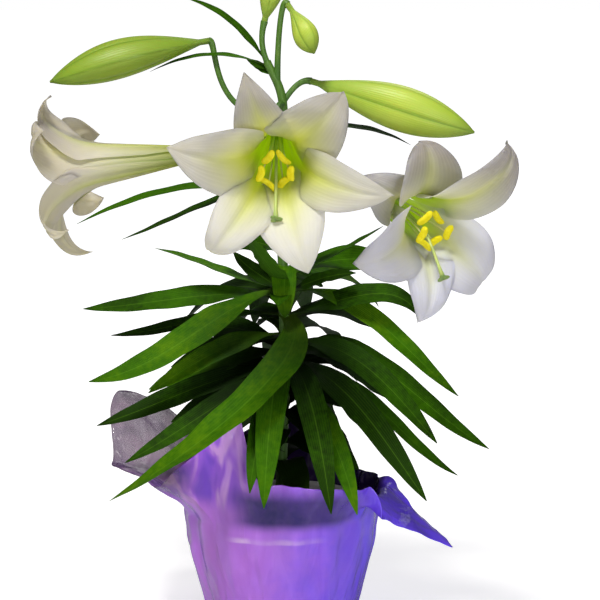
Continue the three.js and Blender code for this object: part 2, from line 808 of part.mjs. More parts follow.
// A line from the bottom of the tube. It spreads away from the axis at an angle round it, and its end sags.
function sagging({ reach, sag, spread, angle, foot, ease }) {
  const points = [];
  for (let i = 0; i <= 4; i++) {
    const share = i / 4;
    const out = foot + (spread - foot) * share ** ease;
    points.push([
      out * Math.cos(angle),
      out * Math.sin(angle) - sag * share ** ease,
      tubeFloor + share * (reach - tubeFloor),
    ]);
  }
  return new THREE.CatmullRomCurve3(points.map(vector));
}

// Six filaments on a ring at the bottom of the tube, each with an anther across its end.
function makeStamens() {
  const { reach, spread, sag, radius, anther, ring } = stamen;
  const [inside, outside] = [ring.radius - ring.wall / 2, ring.radius + ring.wall / 2];
  const section = [[inside, 0], [outside, 0], [outside, ring.height], [inside, ring.height], [inside, 0]];
  const pieces = [turned(section, ring.sides).translate(0, 0, tubeFloor)];
  for (let i = 0; i < 6; i++) {
    const curve = sagging({
      reach: reach + 4 * Math.cos(2 * i),
      sag,
      spread,
      angle: radians(60 * i),
      foot: ring.radius,
      ease: 2.5,
    });
    pieces.push(bar(curve, () => radius, 3, 3));
    const end = curve.getPoint(1);
    const lying = heading(60 * i + 90 + 9 * Math.sin(4 * i), 12 * Math.cos(5 * i));
    const half = anther.length / 2;
    const antherLine = new THREE.LineCurve3(
      end.clone().addScaledVector(lying, -half),
      end.clone().addScaledVector(lying, half),
    );
    pieces.push(bar(antherLine, (share) => anther.radius * Math.max(Math.sin(Math.PI * share), 0.3), 4, 3));
  }
  return fuse(pieces);
}

// The ovary, the style that hangs out past the stamens, and its three-lobed stigma.
function makePistil() {
  const { ovary, styleRadius, reach, sag, stigma } = pistil;
  const curve = sagging({ reach, sag, spread: 0, angle: 0, foot: 0, ease: 4 });
  const style = bar(curve, (share) => (share < ovary.length / reach ? ovary.radius : styleRadius), 5, 8);
  const lobes = [0, 1, 2].map((i) => {
    const lobe = new THREE.SphereGeometry(stigma.lobe, 6, 4).scale(1, 1, 0.7);
    const out = heading(120 * i + 90, 0).multiplyScalar(stigma.circle);
    return lobe.translate(out.x, out.y - sag, reach + 0.5);
  });
  return fuse([style, ...lobes]);
}

// A group whose +Z looks along the bloom's axis, with its +Y as near upright as that allows.
function bloomFrame({ base, faces }) {
  const axis = heading(faces.bearing, faces.pitch);
  const across = new THREE.Vector3(-axis.y, axis.x, 0).normalize();
  const up = new THREE.Vector3().crossVectors(axis, across);
  const frame = new THREE.Group();
  frame.quaternion.setFromRotationMatrix(new THREE.Matrix4().makeBasis(across, up, axis));
  frame.position.set(...base);
  return frame;
}

function named(name, geometry, material) {
  const mesh = new THREE.Mesh(geometry, material);
  mesh.name = name;
  return mesh;
}

function makeLeafyStem() {
  const pieces = [bar(stemCurve, stemRadiusAt, stem.sides, stem.steps)];
  leafSpecs().forEach((spec) => pieces.push(makeLeaf(spec)));
  for (const { base, faces, stalk: path } of Object.values(blooms)) {
    pieces.push(makeStalk(path, vector(base), heading(faces.bearing, faces.pitch)));
  }
  for (const spec of Object.values(buds)) {
    pieces.push(makeStalk(spec.stalk, vector(spec.base), budFacing(spec)));
  }
  return fuse(pieces);
}

const lily = new THREE.Group();

const bulbMesh = named("bulb", makeBulb(), materials.bulb);
bulbMesh.position.z = bulb.floor;
const filledPot = new THREE.Group();
filledPot.position.z = potFoot;
filledPot.add(named("nursery_pot", makePot(), materials.potPlastic));
filledPot.add(named("soil", makeSoil(), materials.soil), bulbMesh);
lily.add(filledPot);
lily.add(named("film_cover", makeFilm(), materials.film));
lily.add(named("leafy_stem", makeLeafyStem(), materials.foliage));

for (const [side, spec] of Object.entries(blooms)) {
  const frame = bloomFrame(spec);
  frame.add(named(`bloom_${side}`, makeBloom(spec), materials.petals));
  frame.add(named(`stamens_${side}`, makeStamens(), materials.stamens));
  frame.add(named(`pistil_${side}`, makePistil(), materials.pistil));
  lily.add(frame);
}
for (const [place, spec] of Object.entries(buds)) {
  lily.add(named(`bud_${place}`, makeBud(spec), materials.buds));
}

export default lily;
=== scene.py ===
import math

import bmesh
import bpy
import numpy as np
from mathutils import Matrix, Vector


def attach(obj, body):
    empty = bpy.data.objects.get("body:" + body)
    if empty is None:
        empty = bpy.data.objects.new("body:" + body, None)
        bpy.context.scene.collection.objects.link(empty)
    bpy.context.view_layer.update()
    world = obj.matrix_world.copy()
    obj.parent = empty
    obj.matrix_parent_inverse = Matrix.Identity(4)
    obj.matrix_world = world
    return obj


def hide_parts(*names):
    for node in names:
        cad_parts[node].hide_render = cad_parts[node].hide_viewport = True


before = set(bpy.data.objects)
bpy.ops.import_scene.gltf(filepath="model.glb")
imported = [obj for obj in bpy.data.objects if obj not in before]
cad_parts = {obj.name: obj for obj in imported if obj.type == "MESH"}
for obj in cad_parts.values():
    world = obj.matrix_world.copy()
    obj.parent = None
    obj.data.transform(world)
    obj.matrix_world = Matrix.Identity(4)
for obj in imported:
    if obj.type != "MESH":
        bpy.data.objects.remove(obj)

for leftover in ("Cube", "Light", "Camera"):  # Blender's own opening scene
    if leftover in bpy.data.objects:
        bpy.data.objects.remove(bpy.data.objects[leftover])
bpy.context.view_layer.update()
print("frame loaded:", len(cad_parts), "nodes")

# Shapes are worked out in millimetres, +Z up, with the viewer at bearing -90. makeMesh and makePaths turn
# them into metres.
camera = {
    "stand": (15.6, -1477.2, 545.2),
    "lookAt": (15.6, 0, 284.7),
    "lens": 109.76,
    "sensor": 36,
    "clip": (0.05, 60),
}


# Adds an object to the scene.
def addObject(name, data):
    thing = bpy.data.objects.new(name, data)
    bpy.context.scene.collection.objects.link(thing)
    return thing


def aimAt(thing, point):
    thing.rotation_mode = "QUATERNION"
    thing.rotation_quaternion = (Vector(point) - thing.location).to_track_quat("-Z", "Y")


def placeCamera():
    data = bpy.data.cameras.new("camera")
    data.lens, data.sensor_width = camera["lens"], camera["sensor"]
    data.clip_start, data.clip_end = camera["clip"]
    stand = addObject("camera", data)
    stand.location = Vector(camera["stand"]) / 1000
    aimAt(stand, Vector(camera["lookAt"]) / 1000)
    bpy.context.scene.camera = stand


placeCamera()


# A list of rows as dictionaries. A row may leave out its last fields.
def readRows(fields, rows):
    return [dict(zip(fields.split(), row)) for row in rows]


def mix(a, b, share):
    return a + (b - a) * share


def ease(x, low=0.0, high=1.0):
    share = np.clip((np.asarray(x, float) - low) / (high - low), 0, 1)
    return share * share * (3 - 2 * share)


def unit(vectors):
    vectors = np.asarray(vectors, float)
    return vectors / np.linalg.norm(vectors, axis=-1, keepdims=True)


def heading(bearing, slope=0.0):
    turn, rise = math.radians(bearing), math.radians(slope)
    return np.array([math.cos(rise) * math.cos(turn), math.cos(rise) * math.sin(turn), math.sin(rise)])


def circleAngles(count):
    return np.linspace(0, 2 * math.pi, count, endpoint=False)


def gridFaces(rows, columns, ring, start=0):
    steps = columns if ring else columns - 1
    faces = []
    for i in range(rows - 1):
        for j in range(steps):
            a, b = start + i * columns + j, start + i * columns + (j + 1) % columns
            faces.append((a, b, b + columns, a + columns))
    return faces


# Collects points, faces and per-point marks, so that a piece of several shells becomes one mesh.
def newShape():
    return {"points": [], "faces": [], "marks": {}, "count": 0}


def addPoints(shape, points, **marks):
    points = np.asarray(points, float).reshape(-1, 3)
    first = shape["count"]
    shape["points"].append(points)
    shape["count"] += len(points)
    for label, value in marks.items():
        values = np.broadcast_to(np.asarray(value, float).ravel() if np.ndim(value) else value, len(points))
        shape["marks"].setdefault(label, []).append(values)
    return first


# Two faces of a thin sheet, [rows, columns, 3] each, closed along their edges.
def addSheet(shape, upper, lower, ring=False, **marks):
    rows, columns = upper.shape[:2]
    top = addPoints(shape, upper, side=1.0, **marks)
    under = addPoints(shape, lower, side=0.0, **marks)
    shape["faces"] += gridFaces(rows, columns, ring, top)
    shape["faces"] += [face[::-1] for face in gridFaces(rows, columns, ring, under)]
    steps = columns if ring else columns - 1
    for j in range(steps):
        k = (j + 1) % columns
        shape["faces"].append((top + k, top + j, under + j, under + k))
        last = (rows - 1) * columns
        shape["faces"].append((top + last + j, top + last + k, under + last + k, under + last + j))
    if not ring:
        for i in range(rows - 1):
            for j, order in ((0, 1), (columns - 1, -1)):
                here, there = i * columns + j, (i + 1) * columns + j
                shape["faces"].append((top + here, top + there, under + there, under + here)[::order])


# A closed skin over rings of points, [rings, around, 3].
def addLoft(shape, rings, **marks):
    count, around = rings.shape[:2]
    first = addPoints(shape, rings, **marks)
    shape["faces"] += gridFaces(count, around, True, first)
    for ring, order in ((0, -1), (count - 1, 1)):
        ends = {label: np.broadcast_to(value, (count, around))[ring, :1] for label, value in marks.items()}
        middle = addPoints(shape, rings[ring].mean(0), **ends)
        for j in range(around):
            a, b = first + ring * around + j, first + ring * around + (j + 1) % around
            shape["faces"].append((a, b, middle)[::order])


def turnedRings(profile, sides):
    angle = circleAngles(sides)
    profile = np.asarray(profile, float)
    return np.stack([profile[:, :1] * np.cos(angle), profile[:, :1] * np.sin(angle),
                     np.repeat(profile[:, 1:], sides, 1)], -1)


def makeMesh(name, shape):
    mesh = bpy.data.meshes.new(name)
    mesh.from_pydata((np.concatenate(shape["points"]) / 1000).tolist(), [], shape["faces"])
    for label, parts in shape["marks"].items():
        mark = mesh.attributes.new(label, "FLOAT", "POINT")
        mark.data.foreach_set("value", np.concatenate(parts).astype(np.float32))
    return mesh


def makePiece(name, shape, material):
    mesh = makeMesh(name, shape)
    tidy = bmesh.new()
    tidy.from_mesh(mesh)
    bmesh.ops.remove_doubles(tidy, verts=tidy.verts, dist=1e-6)
    bmesh.ops.dissolve_degenerate(tidy, edges=tidy.edges, dist=1e-7)
    bmesh.ops.recalc_face_normals(tidy, faces=tidy.faces)
    tidy.to_mesh(mesh)
    tidy.free()
    mesh.polygons.foreach_set("use_smooth", [True] * len(mesh.polygons))
    mesh.materials.append(material)
    return addObject(name, mesh)


def makeLoft(name, rings, material, **marks):
    shape = newShape()
    addLoft(shape, rings, **marks)
    return makePiece(name, shape, material)


# Puts the mesh that an object's modifiers make of it in the object's place.
def applyModifiers(thing, name):
    graph = bpy.context.evaluated_depsgraph_get()
    mesh = bpy.data.meshes.new_from_object(thing.evaluated_get(graph), depsgraph=graph)
    thing.modifiers.clear()
    bpy.data.objects.remove(thing)
    mesh.name = name
    return addObject(name, mesh)


def settle(piece, slot, *nodes):
    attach(piece, "root")
    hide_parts(*nodes)
    return piece


# Node trees. Inputs are given by name or number, as a value or as the socket of another node.
def addNode(tree, kind, inputs=None, **settings):
    node = tree.nodes.new(kind)
    for label, value in settings.items():
        setattr(node, label, value)
    for key, value in (inputs or {}).items():
        if isinstance(value, bpy.types.NodeSocket):
            tree.links.new(value, node.inputs[key])
        else:
            node.inputs[key].default_value = value
    return node


# Adds a node to the tree of the sockets that it is given, and hands on what it puts out.
def joinNode(kind, inputs, out=0, **settings):
    tree = next(value.id_data for value in inputs.values() if isinstance(value, bpy.types.NodeSocket))
    return addNode(tree, kind, inputs, **settings).outputs[out]


def compute(operation, *values):
    return joinNode("ShaderNodeMath", dict(enumerate(values)), operation=operation)


def times(product, *others):
    for value in others:
        product = compute("MULTIPLY", product, value)
    return product


def timesPlus(value, factor, more):
    return compute("MULTIPLY_ADD", value, factor, more)


def plus(a, b):
    return compute("ADD", a, b)


def minus(a, b):
    return compute("SUBTRACT", a, b)


def computeVector(operation, *values):
    out = "Value" if operation == "LENGTH" else "Vector"
    return joinNode("ShaderNodeVectorMath", dict(enumerate(values)), out, operation=operation)


def scaleVector(vector, factor):
    return joinNode("ShaderNodeVectorMath", {0: vector, "Scale": factor}, operation="SCALE")


def split(vector):
    return joinNode("ShaderNodeSeparateXYZ", {0: vector}).node.outputs


def remap(value, low, high, start=0.0, end=1.0, kind="LINEAR"):
    inputs = {0: value, 1: low, 2: high, 3: start, 4: end}
    return joinNode("ShaderNodeMapRange", inputs, interpolation_type=kind)


# 0, rising to 1 between the first two values and falling to 0 again between the last two.
def window(value, low, full, fading, high):
    return times(remap(value, low, full, kind="SMOOTHSTEP"), remap(value, high, fading, kind="SMOOTHSTEP"))


# A number is its socket's first value, and a word names a kind of socket that has none.
def addSockets(tree, ways, sockets):
    kinds = {float: "Float", int: "Int", bool: "Bool"}
    for label, value in sockets.items():
        kind = value if isinstance(value, str) else kinds[type(value)]
        socket = tree.interface.new_socket(label, in_out=ways, socket_type="NodeSocket" + kind)
        if kind != value:
            socket.default_value = value


def tint(red, green, blue):
    shares = [level / 255 for level in (red, green, blue)]
    linear = [share / 12.92 if share <= 0.04 else ((share + 0.055) / 1.055) ** 2.4 for share in shares]
    return (*linear, 1.0)


def startMaterial(name):
    material = bpy.data.materials.new(name)
    material.use_nodes = True
    material.node_tree.nodes.clear()
    return material, material.node_tree


def finishMaterial(material, colour, relief=None, depth=0.001, rough=0.5, shine=0.5, **shader):
    inputs = {"Base Color": colour, "Roughness": rough, "Specular IOR Level": shine}
    inputs.update({key.replace("_", " "): value for key, value in shader.items()})
    if relief is not None:
        inputs["Normal"] = joinNode("ShaderNodeBump", {"Height": relief, "Distance": depth, "Strength": 1.0})
    skin = addNode(material.node_tree, "ShaderNodeBsdfPrincipled", inputs)
    addNode(material.node_tree, "ShaderNodeOutputMaterial", {"Surface": skin.outputs[0]})
    return material


def marksOf(tree, *labels):
    return [addNode(tree, "ShaderNodeAttribute", attribute_name=label).outputs["Fac"] for label in labels]


def place(tree):
    return addNode(tree, "ShaderNodeTexCoord").outputs["Object"]


# East, north and up in millimetres.
def spotOf(tree):
    return split(scaleVector(place(tree), 1000.0))


def noise(where, scale, detail, distortion=0.0):
    inputs = {"Vector": where, "Scale": scale, "Detail": detail, "Distortion": distortion}
    return joinNode("ShaderNodeTexNoise", inputs)


# Leans a pattern and draws it out upwards.
def stretch(where, upwards, lean=0.0):
    inputs = {"Vector": where, "Rotation": (0.0, lean, 0.0), "Scale": (1.0, 1.0, upwards)}
    return joinNode("ShaderNodeMapping", inputs)


def blend(share, a, b):
    return joinNode("ShaderNodeMix", {0: share, 6: a, 7: b}, 2, data_type="RGBA")


# Lays each colour in turn over the last, as far as its mask and its strength say.
def cover(colour, *layers):
    for over, mask, strength in layers:
        colour = blend(times(mask, strength), colour, over)
    return colour


def ramp(value, *stops):
    colours = joinNode("ShaderNodeValToRGB", {0: value})
    bar = colours.node.color_ramp
    while len(bar.elements) < len(stops):
        bar.elements.new(1.0)
    for element, (at, colour) in zip(bar.elements, stops):
        element.position, element.color = at, colour
    return colours


def startGroup(name, given, made):
    tree = bpy.data.node_groups.new(name, "ShaderNodeTree")
    addSockets(tree, "INPUT", given)
    addSockets(tree, "OUTPUT", {made: "Float"})
    return tree, addNode(tree, "NodeGroupInput").outputs


# Fine blotches of two sizes, about 0.5 on average.
def makeMottle():
    tree, given = startGroup("mottle", {"Scale": 40.0, "Fine Share": 0.4}, "Value")
    coarse = noise(place(tree), given["Scale"], 3.0)
    fine = noise(place(tree), times(given["Scale"], 9.0), 4.0)
    both = joinNode("ShaderNodeMix", {0: given["Fine Share"], 2: coarse, 3: fine})
    addNode(tree, "NodeGroupOutput", {"Value": both})
    return tree


# Fine lines that run along a leaf, petal or bud: 1 on a line, 0 between two.
def makeVeins():
    sockets = {"Across": 0.0, "Count": 12.0, "Waver": 0.2, "Sharpness": 3.0}
    tree, given = startGroup("veins", sockets, "Line")
    waver = times(minus(noise(place(tree), 60.0, 2.0), 0.5), given["Waver"])
    phase = plus(times(given["Across"], given["Count"]), waver)
    wave = compute("COSINE", times(phase, 2 * math.pi))
    line = compute("POWER", times(plus(wave, 1.0), 0.5), given["Sharpness"])
    addNode(tree, "NodeGroupOutput", {"Line": line})
    return tree


mottle, veins = makeMottle(), makeVeins()


def blotches(tree, scale, fineShare):
    inputs = {"Scale": scale, "Fine Share": fineShare}
    return addNode(tree, "ShaderNodeGroup", inputs, node_tree=mottle).outputs[0]


def veinLines(across, count, waver):
    inputs = {"Across": across, "Count": count, "Waver": waver, "Sharpness": 2.0}
    return joinNode("ShaderNodeGroup", inputs, node_tree=veins)


# Geometry trees and how one is used.
def geometryTree(name, sockets):
    tree = bpy.data.node_groups.new(name, "GeometryNodeTree")
    addSockets(tree, "INPUT", {"Geometry": "Geometry", **sockets, "Material": "Material"})
    addSockets(tree, "OUTPUT", {"Geometry": "Geometry"})
    return tree, addNode(tree, "NodeGroupInput").outputs


def named(tree, label, kind="FLOAT"):
    return addNode(tree, "GeometryNodeInputNamedAttribute", {"Name": label}, data_type=kind).outputs[0]


def store(geometry, label, value, kind="FLOAT"):
    inputs = {"Geometry": geometry, "Name": label, "Value": value}
    return joinNode("GeometryNodeStoreNamedAttribute", inputs, data_type=kind, domain="POINT")


def move(geometry, **inputs):
    return joinNode("GeometryNodeSetPosition", {"Geometry": geometry, **inputs})


def circle(points):
    return joinNode("GeometryNodeCurvePrimitiveCircle", {"Resolution": points, "Radius": 1.0})


def pathOf(geometry):
    return joinNode("GeometryNodeMeshToCurve", {"Mesh": geometry})


def sweepAlong(curve, profile, scale):
    tree = curve.id_data
    curve = store(curve, "along", addNode(tree, "GeometryNodeSplineParameter").outputs["Factor"])
    return joinNode("GeometryNodeCurveToMesh", {
        "Curve": curve, "Profile Curve": profile, "Scale": named(tree, scale), "Fill Caps": True})


def endTree(geometry, material):
    real = joinNode("GeometryNodeRealizeInstances", {"Geometry": geometry})
    soft = joinNode("GeometryNodeSetShadeSmooth", {"Geometry": real})
    painted = joinNode("GeometryNodeSetMaterial", {"Geometry": soft, "Material": material})
    addNode(painted.id_data, "NodeGroupOutput", {"Geometry": painted})
    return painted.id_data


def grow(name, mesh, tree, values):
    source = addObject(name + "Source", mesh)
    modifier = source.modifiers.new("grow", "NODES")
    modifier.node_group = tree
    for item in tree.interface.items_tree:
        if item.in_out == "INPUT" and item.name in values:
            modifier[item.identifier] = values[item.name]
    return applyModifiers(source, name)


# Lines of points with marks, for a tree to sweep: one row of points for each line.
def makePaths(name, lines, **marks):
    mesh = bpy.data.meshes.new(name)
    edges, start = [], 0
    for line in lines:
        edges += [(start + i, start + i + 1) for i in range(len(line) - 1)]
        start += len(line)
    mesh.from_pydata((np.concatenate(lines) / 1000).tolist(), edges, [])
    for label, parts in marks.items():
        values = np.concatenate([np.broadcast_to(part, len(line)) for part, line in zip(parts, lines)])
        attribute = mesh.attributes.new(label, "FLOAT", "POINT")
        attribute.data.foreach_set("value", values.astype(np.float32))
    return mesh


# The smooth line through points, the way a rod would bend through them.
def throughPoints(points, shares):
    points = np.asarray(points, float)
    points = np.vstack([2 * points[0] - points[1], points, 2 * points[-1] - points[-2]])
    result = []
    for share in np.atleast_1d(shares):
        at = share * (len(points) - 3)
        i = min(int(at), len(points) - 4)
        w = at - i
        p0, p1, p2, p3 = points[i:i + 4]
        d0, d1, d2 = [np.linalg.norm(b - a) ** 0.5 for a, b in ((p0, p1), (p1, p2), (p2, p3))]
        t1 = ((p1 - p0) / d0 - (p2 - p0) / (d0 + d1) + (p2 - p1) / d1) * d1
        t2 = ((p2 - p1) / d1 - (p3 - p1) / (d1 + d2) + (p3 - p2) / d2) * d1
        result.append(p1 + t1 * w + (3 * p2 - 3 * p1 - 2 * t1 - t2) * w * w
                      + (2 * p1 - 2 * p2 + t1 + t2) * w ** 3)
    return np.array(result)


def bezier(a, b, c, d, shares):
    t = np.asarray(shares, float)[:, None]
    return a * (1 - t) ** 3 + 3 * b * t * (1 - t) ** 2 + 3 * c * t * t * (1 - t) + d * t ** 3


potFoot = 1.3
stem = {
    "path": [(0, 0, 61.6), (0, 0, 130), (3, 0, 250), (0, 2, 370), (1, 2, 450), (-11, 2, 479)],
    "footRadius": 5.2,
    "topRadius": 3.2,
    "points": 90,
    "sides": 20,
    "stalkRadius": 2.3,
    "stalkPoints": 26,
}
stemLine = throughPoints(stem["path"], np.linspace(0, 1, 400))


def stemAt(height):
    return stemLine[np.argmin(np.abs(stemLine[:, 2] - height))]


# A rod swept along each line, as thick as its mark says.
def makeRodTree():
    tree, given = geometryTree("rods", {"Sides": 12})
    swept = sweepAlong(pathOf(given["Geometry"]), circle(given["Sides"]), "thickness")
    return endTree(swept, given["Material"])


# A blade swept along each line: channelled, thin at its edges, keeled under its middle, with waved margins.
def makeBladeTree():
    tree, given = geometryTree("blades", {
        "Section Points": 26, "Channel": 0.22, "Thickness": 0.11, "Keel": 0.05,
        "Ripple": 0.09, "Ripples": 2.6, "Margin Wave": 0.05, "Margin Turn": 31.0})
    section = circle(given["Section Points"])
    x, y, _ = split(addNode(tree, "GeometryNodeInputPosition").outputs[0])
    fromMiddle = compute("ABSOLUTE", x)
    channel = times(compute("POWER", fromMiddle, 1.5), given["Channel"])
    body = times(y, times(given["Thickness"], 0.5))
    nearMiddle = compute("POWER", minus(1.0, fromMiddle), 6.0)
    keel = times(nearMiddle, given["Keel"], compute("LESS_THAN", y, 0.0))
    height = minus(plus(channel, body), keel)
    shaped = joinNode("ShaderNodeCombineXYZ", {0: x, 1: times(height, -1.0)})
    section = store(store(section, "across", x), "side", compute("GREATER_THAN", y, 0.0))
    profile = move(section, Position=shaped)

    rail = joinNode("GeometryNodeSetCurveNormal", {"Curve": pathOf(given["Geometry"])}, mode="Z_UP")
    rail = joinNode("GeometryNodeSetCurveTilt", {"Curve": rail, "Tilt": named(tree, "roll")})
    level = addNode(tree, "GeometryNodeInputNormal").outputs[0]
    ahead = addNode(tree, "GeometryNodeInputTangent").outputs[0]
    rail = store(rail, "upward", computeVector("CROSS_PRODUCT", level, ahead), "FLOAT_VECTOR")
    swept = sweepAlong(rail, profile, "halfWidth")

    along, across, half, seed = (named(tree, label) for label in ("along", "across", "halfWidth", "seed"))
    turn = plus(times(along, given["Ripples"], 2 * math.pi), seed)
    twist = times(compute("SINE", turn), minus(1.0, along), given["Ripple"], across)
    flutter = compute("SINE", plus(times(along, given["Margin Turn"]), times(seed, 3.0)))
    edge = compute("POWER", compute("ABSOLUTE", across), 3.0)
    lift = times(plus(twist, times(flutter, edge, given["Margin Wave"])), half)
    offset = computeVector("MULTIPLY", named(tree, "upward", "FLOAT_VECTOR"), lift)
    return endTree(move(swept, Offset=offset), given["Material"])


# Grains scattered over a surface and lumped by noise. With Keep Ground the surface itself stays too.
def makeGrainTree():
    tree, given = geometryTree("grains", {
        "Density": 1e6, "Spacing": 0.001, "Smallest": 0.0005, "Largest": 0.002, "Lumps": 0.4, "Rounds": 1,
        "Seed": 1, "Keep Ground": False})
    spread = addNode(tree, "GeometryNodeDistributePointsOnFaces", {
        "Mesh": given["Geometry"], "Distance Min": given["Spacing"], "Density Max": given["Density"],
        "Seed": given["Seed"]}, distribute_method="POISSON").outputs
    grain = joinNode("GeometryNodeMeshIcoSphere", {"Radius": 1.0, "Subdivisions": given["Rounds"]})
    size = joinNode("FunctionNodeRandomValue", {
        2: given["Smallest"], 3: given["Largest"], 8: given["Seed"]}, 1, data_type="FLOAT")
    placed = joinNode("GeometryNodeInstanceOnPoints", {
        "Points": spread[0], "Instance": grain, "Rotation": spread["Rotation"], "Scale": size})
    real = joinNode("GeometryNodeRealizeInstances", {"Geometry": placed})
    fineness = compute("DIVIDE", 0.7, given["Largest"])
    lumps = joinNode("ShaderNodeTexNoise", {"Scale": fineness, "Detail": 1.0}, "Color")
    reach = times(given["Largest"], times(given["Lumps"], 2.0))
    lumped = move(real, Offset=scaleVector(computeVector("SUBTRACT", lumps, (0.5, 0.5, 0.5)), reach))
    ground = joinNode("GeometryNodeSwitch", {"Switch": given["Keep Ground"], "True": given["Geometry"]},
                      input_type="GEOMETRY")
    joined = tree.nodes.new("GeometryNodeJoinGeometry")
    for geometry in (lumped, ground):
        tree.links.new(geometry, joined.inputs[0])
    return endTree(joined.outputs[0], given["Material"])


rods, blades, grains = makeRodTree(), makeBladeTree(), makeGrainTree()
print("trees made")

leafLook = {
    "dark": tint(20, 48, 1), "mid": tint(52, 100, 1), "pale": tint(98, 138, 6),
    "under": tint(52, 92, 22), "midrib": tint(104, 156, 36), "root": tint(120, 150, 44),
    "inside": tint(12, 28, 4),
    "blotches": (22.0, 0.35), "lines": (6.0, 0.25), "lineShare": 0.1, "ribShare": 0.24,
    "ribSharpness": 11.0, "underShare": 0.7, "rootFades": (0.0, 0.16, 0.55, 0.0),
    "roughness": (0.2, 0.8, 0.5, 0.68),
    # Painted shade, a near-black green laid over the leaves round the stem and behind it, where the bunch is
    # shaded. In mm from the stem, backwards or up.
    "fromStem": (-2, -1, 40, 100), "stemUp": (100, 118, 236, 318), "stemShade": 0.92,
    "back": (0, 50, 400, 500), "backUp": (-2, -1, 260, 330), "backShade": 0.5,
}


def leafMaterial():
    material, tree = startMaterial("leafGreen")
    along, across, side, seed = marksOf(tree, "along", "across", "side", "seed")
    blotch, lines = blotches(tree, *leafLook["blotches"]), veinLines(across, *leafLook["lines"])
    tone = timesPlus(compute("SINE", times(seed, 2.7)), 0.2, blotch)
    colour = ramp(tone, (0.3, leafLook["dark"]), (0.62, leafLook["mid"]), (0.95, leafLook["pale"]))
    offRib = times(compute("ABSOLUTE", across), leafLook["ribSharpness"])
    rib = minus(1.0, compute("SMOOTH_MIN", offRib, 1.0, 0.4))
    # Painted shade: the leaves close round the stem, and those behind it, are darkened towards a near-black
    # green.
    x, y, z = spotOf(tree)
    fromStem = compute("SQRT", plus(times(x, x), times(y, y)))
    inside = times(window(fromStem, *leafLook["fromStem"]), window(z, *leafLook["stemUp"]))
    behind = times(window(y, *leafLook["back"]), window(z, *leafLook["backUp"]))
    shade = compute("MAXIMUM", times(inside, leafLook["stemShade"]), times(behind, leafLook["backShade"]))
    colour = cover(colour, (leafLook["pale"], lines, leafLook["lineShare"]),
                   (leafLook["midrib"], rib, leafLook["ribShare"]),
                   (leafLook["root"], remap(along, *leafLook["rootFades"]), 1.0),
                   (leafLook["under"], minus(1.0, side), leafLook["underShare"]),
                   (leafLook["inside"], shade, 1.0))
    relief = timesPlus(lines, -0.4, times(blotch, 0.6))
    rough = remap(blotch, *leafLook["roughness"])
    return finishMaterial(material, colour, relief, 0.0003, rough=rough, shine=0.06)


stemLook = {
    "streaks": (0.12, 420.0, 3.0), "blotches": (45.0, 0.3), "pale": tint(126, 156, 62), "paleShare": 0.15,
    "tones": ((0.3, tint(38, 78, 20)), (0.55, tint(72, 116, 36)), (0.8, tint(122, 150, 66))),
}


def stemMaterial():
    material, tree = startMaterial("stemGreen")
    upwards, scale, detail = stemLook["streaks"]
    streak = noise(stretch(place(tree), upwards), scale, detail)
    tone = joinNode("ShaderNodeMix", {0: 0.5, 2: streak, 3: blotches(tree, *stemLook["blotches"])})
    along, = marksOf(tree, "along")
    colour = cover(ramp(tone, *stemLook["tones"]), (stemLook["pale"], along, stemLook["paleShare"]))
    return finishMaterial(material, colour, streak, 0.0004, rough=0.46, shine=0.4)


leafGreen, stemGreen = leafMaterial(), stemMaterial()

# at: height of the root on the stem. towards, reach and tip: where the point is. rise and droop: slope at the
# root, up, and at the point, down. turn: how far round from its point's bearing a leaf leaves the stem.
# roll: its tilt.
leafFields = "at towards reach tip rise droop width turn roll"
seenLeaves = readRows(leafFields, [
    (287, 172, 167, 273, 5, 4, 20), (296, 201, 163, 229, -12, 4, 25), (272, 164, 150, 247, 4, 6, 14),
    (256, 197, 112, 214, 0, 30, 20), (230, 188, 152, 184, -6, 16, 21),
    (272, 217, 167, 143, -10, 30, 32, 84, 20), (230, 207, 139, 164, -18, 24, 19, 8),
    (216, 258, 112, 152, 14, 62, 19), (240, 264, 117, 142, 18, 68, 24), (230, 289, 122, 137, 18, 66, 23),
    (206, 301, 117, 132, 20, 64, 20), (236, 316, 158, 146, 0, 42, 23), (290, 346, 148, 212, 12, 38, 18),
    (246, 333, 140, 180, 20, 46, 21), (248, 351, 172, 166, 14, 28, 21), (222, 3, 148, 134, 12, 30, 15),
    (272, 342, 118, 276, 12, 62, 21), (294, 250, 66, 346, 36, -50, 26), (290, 170, 40, 324, 40, -52, 15),
    (293, 178, 103, 327, 10, -14, 15, 0, 12), (378, 172, 133, 332, -6, 20, 12, 0, 20),
    (376, 187, 165, 350, 8, 26, 12, 0, 20), (302, 355, 84, 347, 26, -34, 15, 0, 8),
    (290, 333, 68, 312, 22, -6, 14), (330, 318, 60, 362, 34, 40, 13), (420, 4, 106, 411, 14, 28, 10, 0, 20),
    (312, 276, 34, 276, 20, 60, 20),
])
# Dark leaves at the back that close the gaps between the seen ones.
backLeaves = readRows(leafFields, [
    (250, 162, 98, 222, 2, 26, 22), (240, 172, 112, 206, 0, 26, 24), (212, 166, 96, 176, 2, 30, 24),
    (222, 18, 92, 152, 10, 44, 26), (204, 36, 80, 134, 10, 50, 28), (240, 26, 100, 192, 12, 36, 24),
])
bracts = readRows(leafFields, [
    (470, 178, 76, 529, 58, -14, 7), (474, 176, 106, 470, 24, 26, 8, 0, 20),
    (466, 150, 32, 480, 30, -20, 8),
])
# Far, middle and low leaves. In a group each leaf is a golden angle on from the last and a little lower.
leafGroups = readRows("count from span top bottom reach fall vary rise droop width", [
    (11, 24, 124, 302, 226, 150, 42, 14, 26, 44, 26),
    (10, 12, 156, 236, 184, 102, 30, 5, 26, 44, 25),
    (12, 0, 360, 206, 146, 66, 16, 3, 36, 30, 25),
    (4, 190, 330, 322, 262, 50, 2, 8, 44, 24, 19),
])
leaf = {
    "points": 34, "tilt": 48, "footShare": 0.42, "widest": 0.36, "handle": 0.38, "golden": 0.618034,
    "taper": (2.8, 0.85), "thinnest": 0.35, "levelFrom": 0.4, "unwinds": 0.8,
}


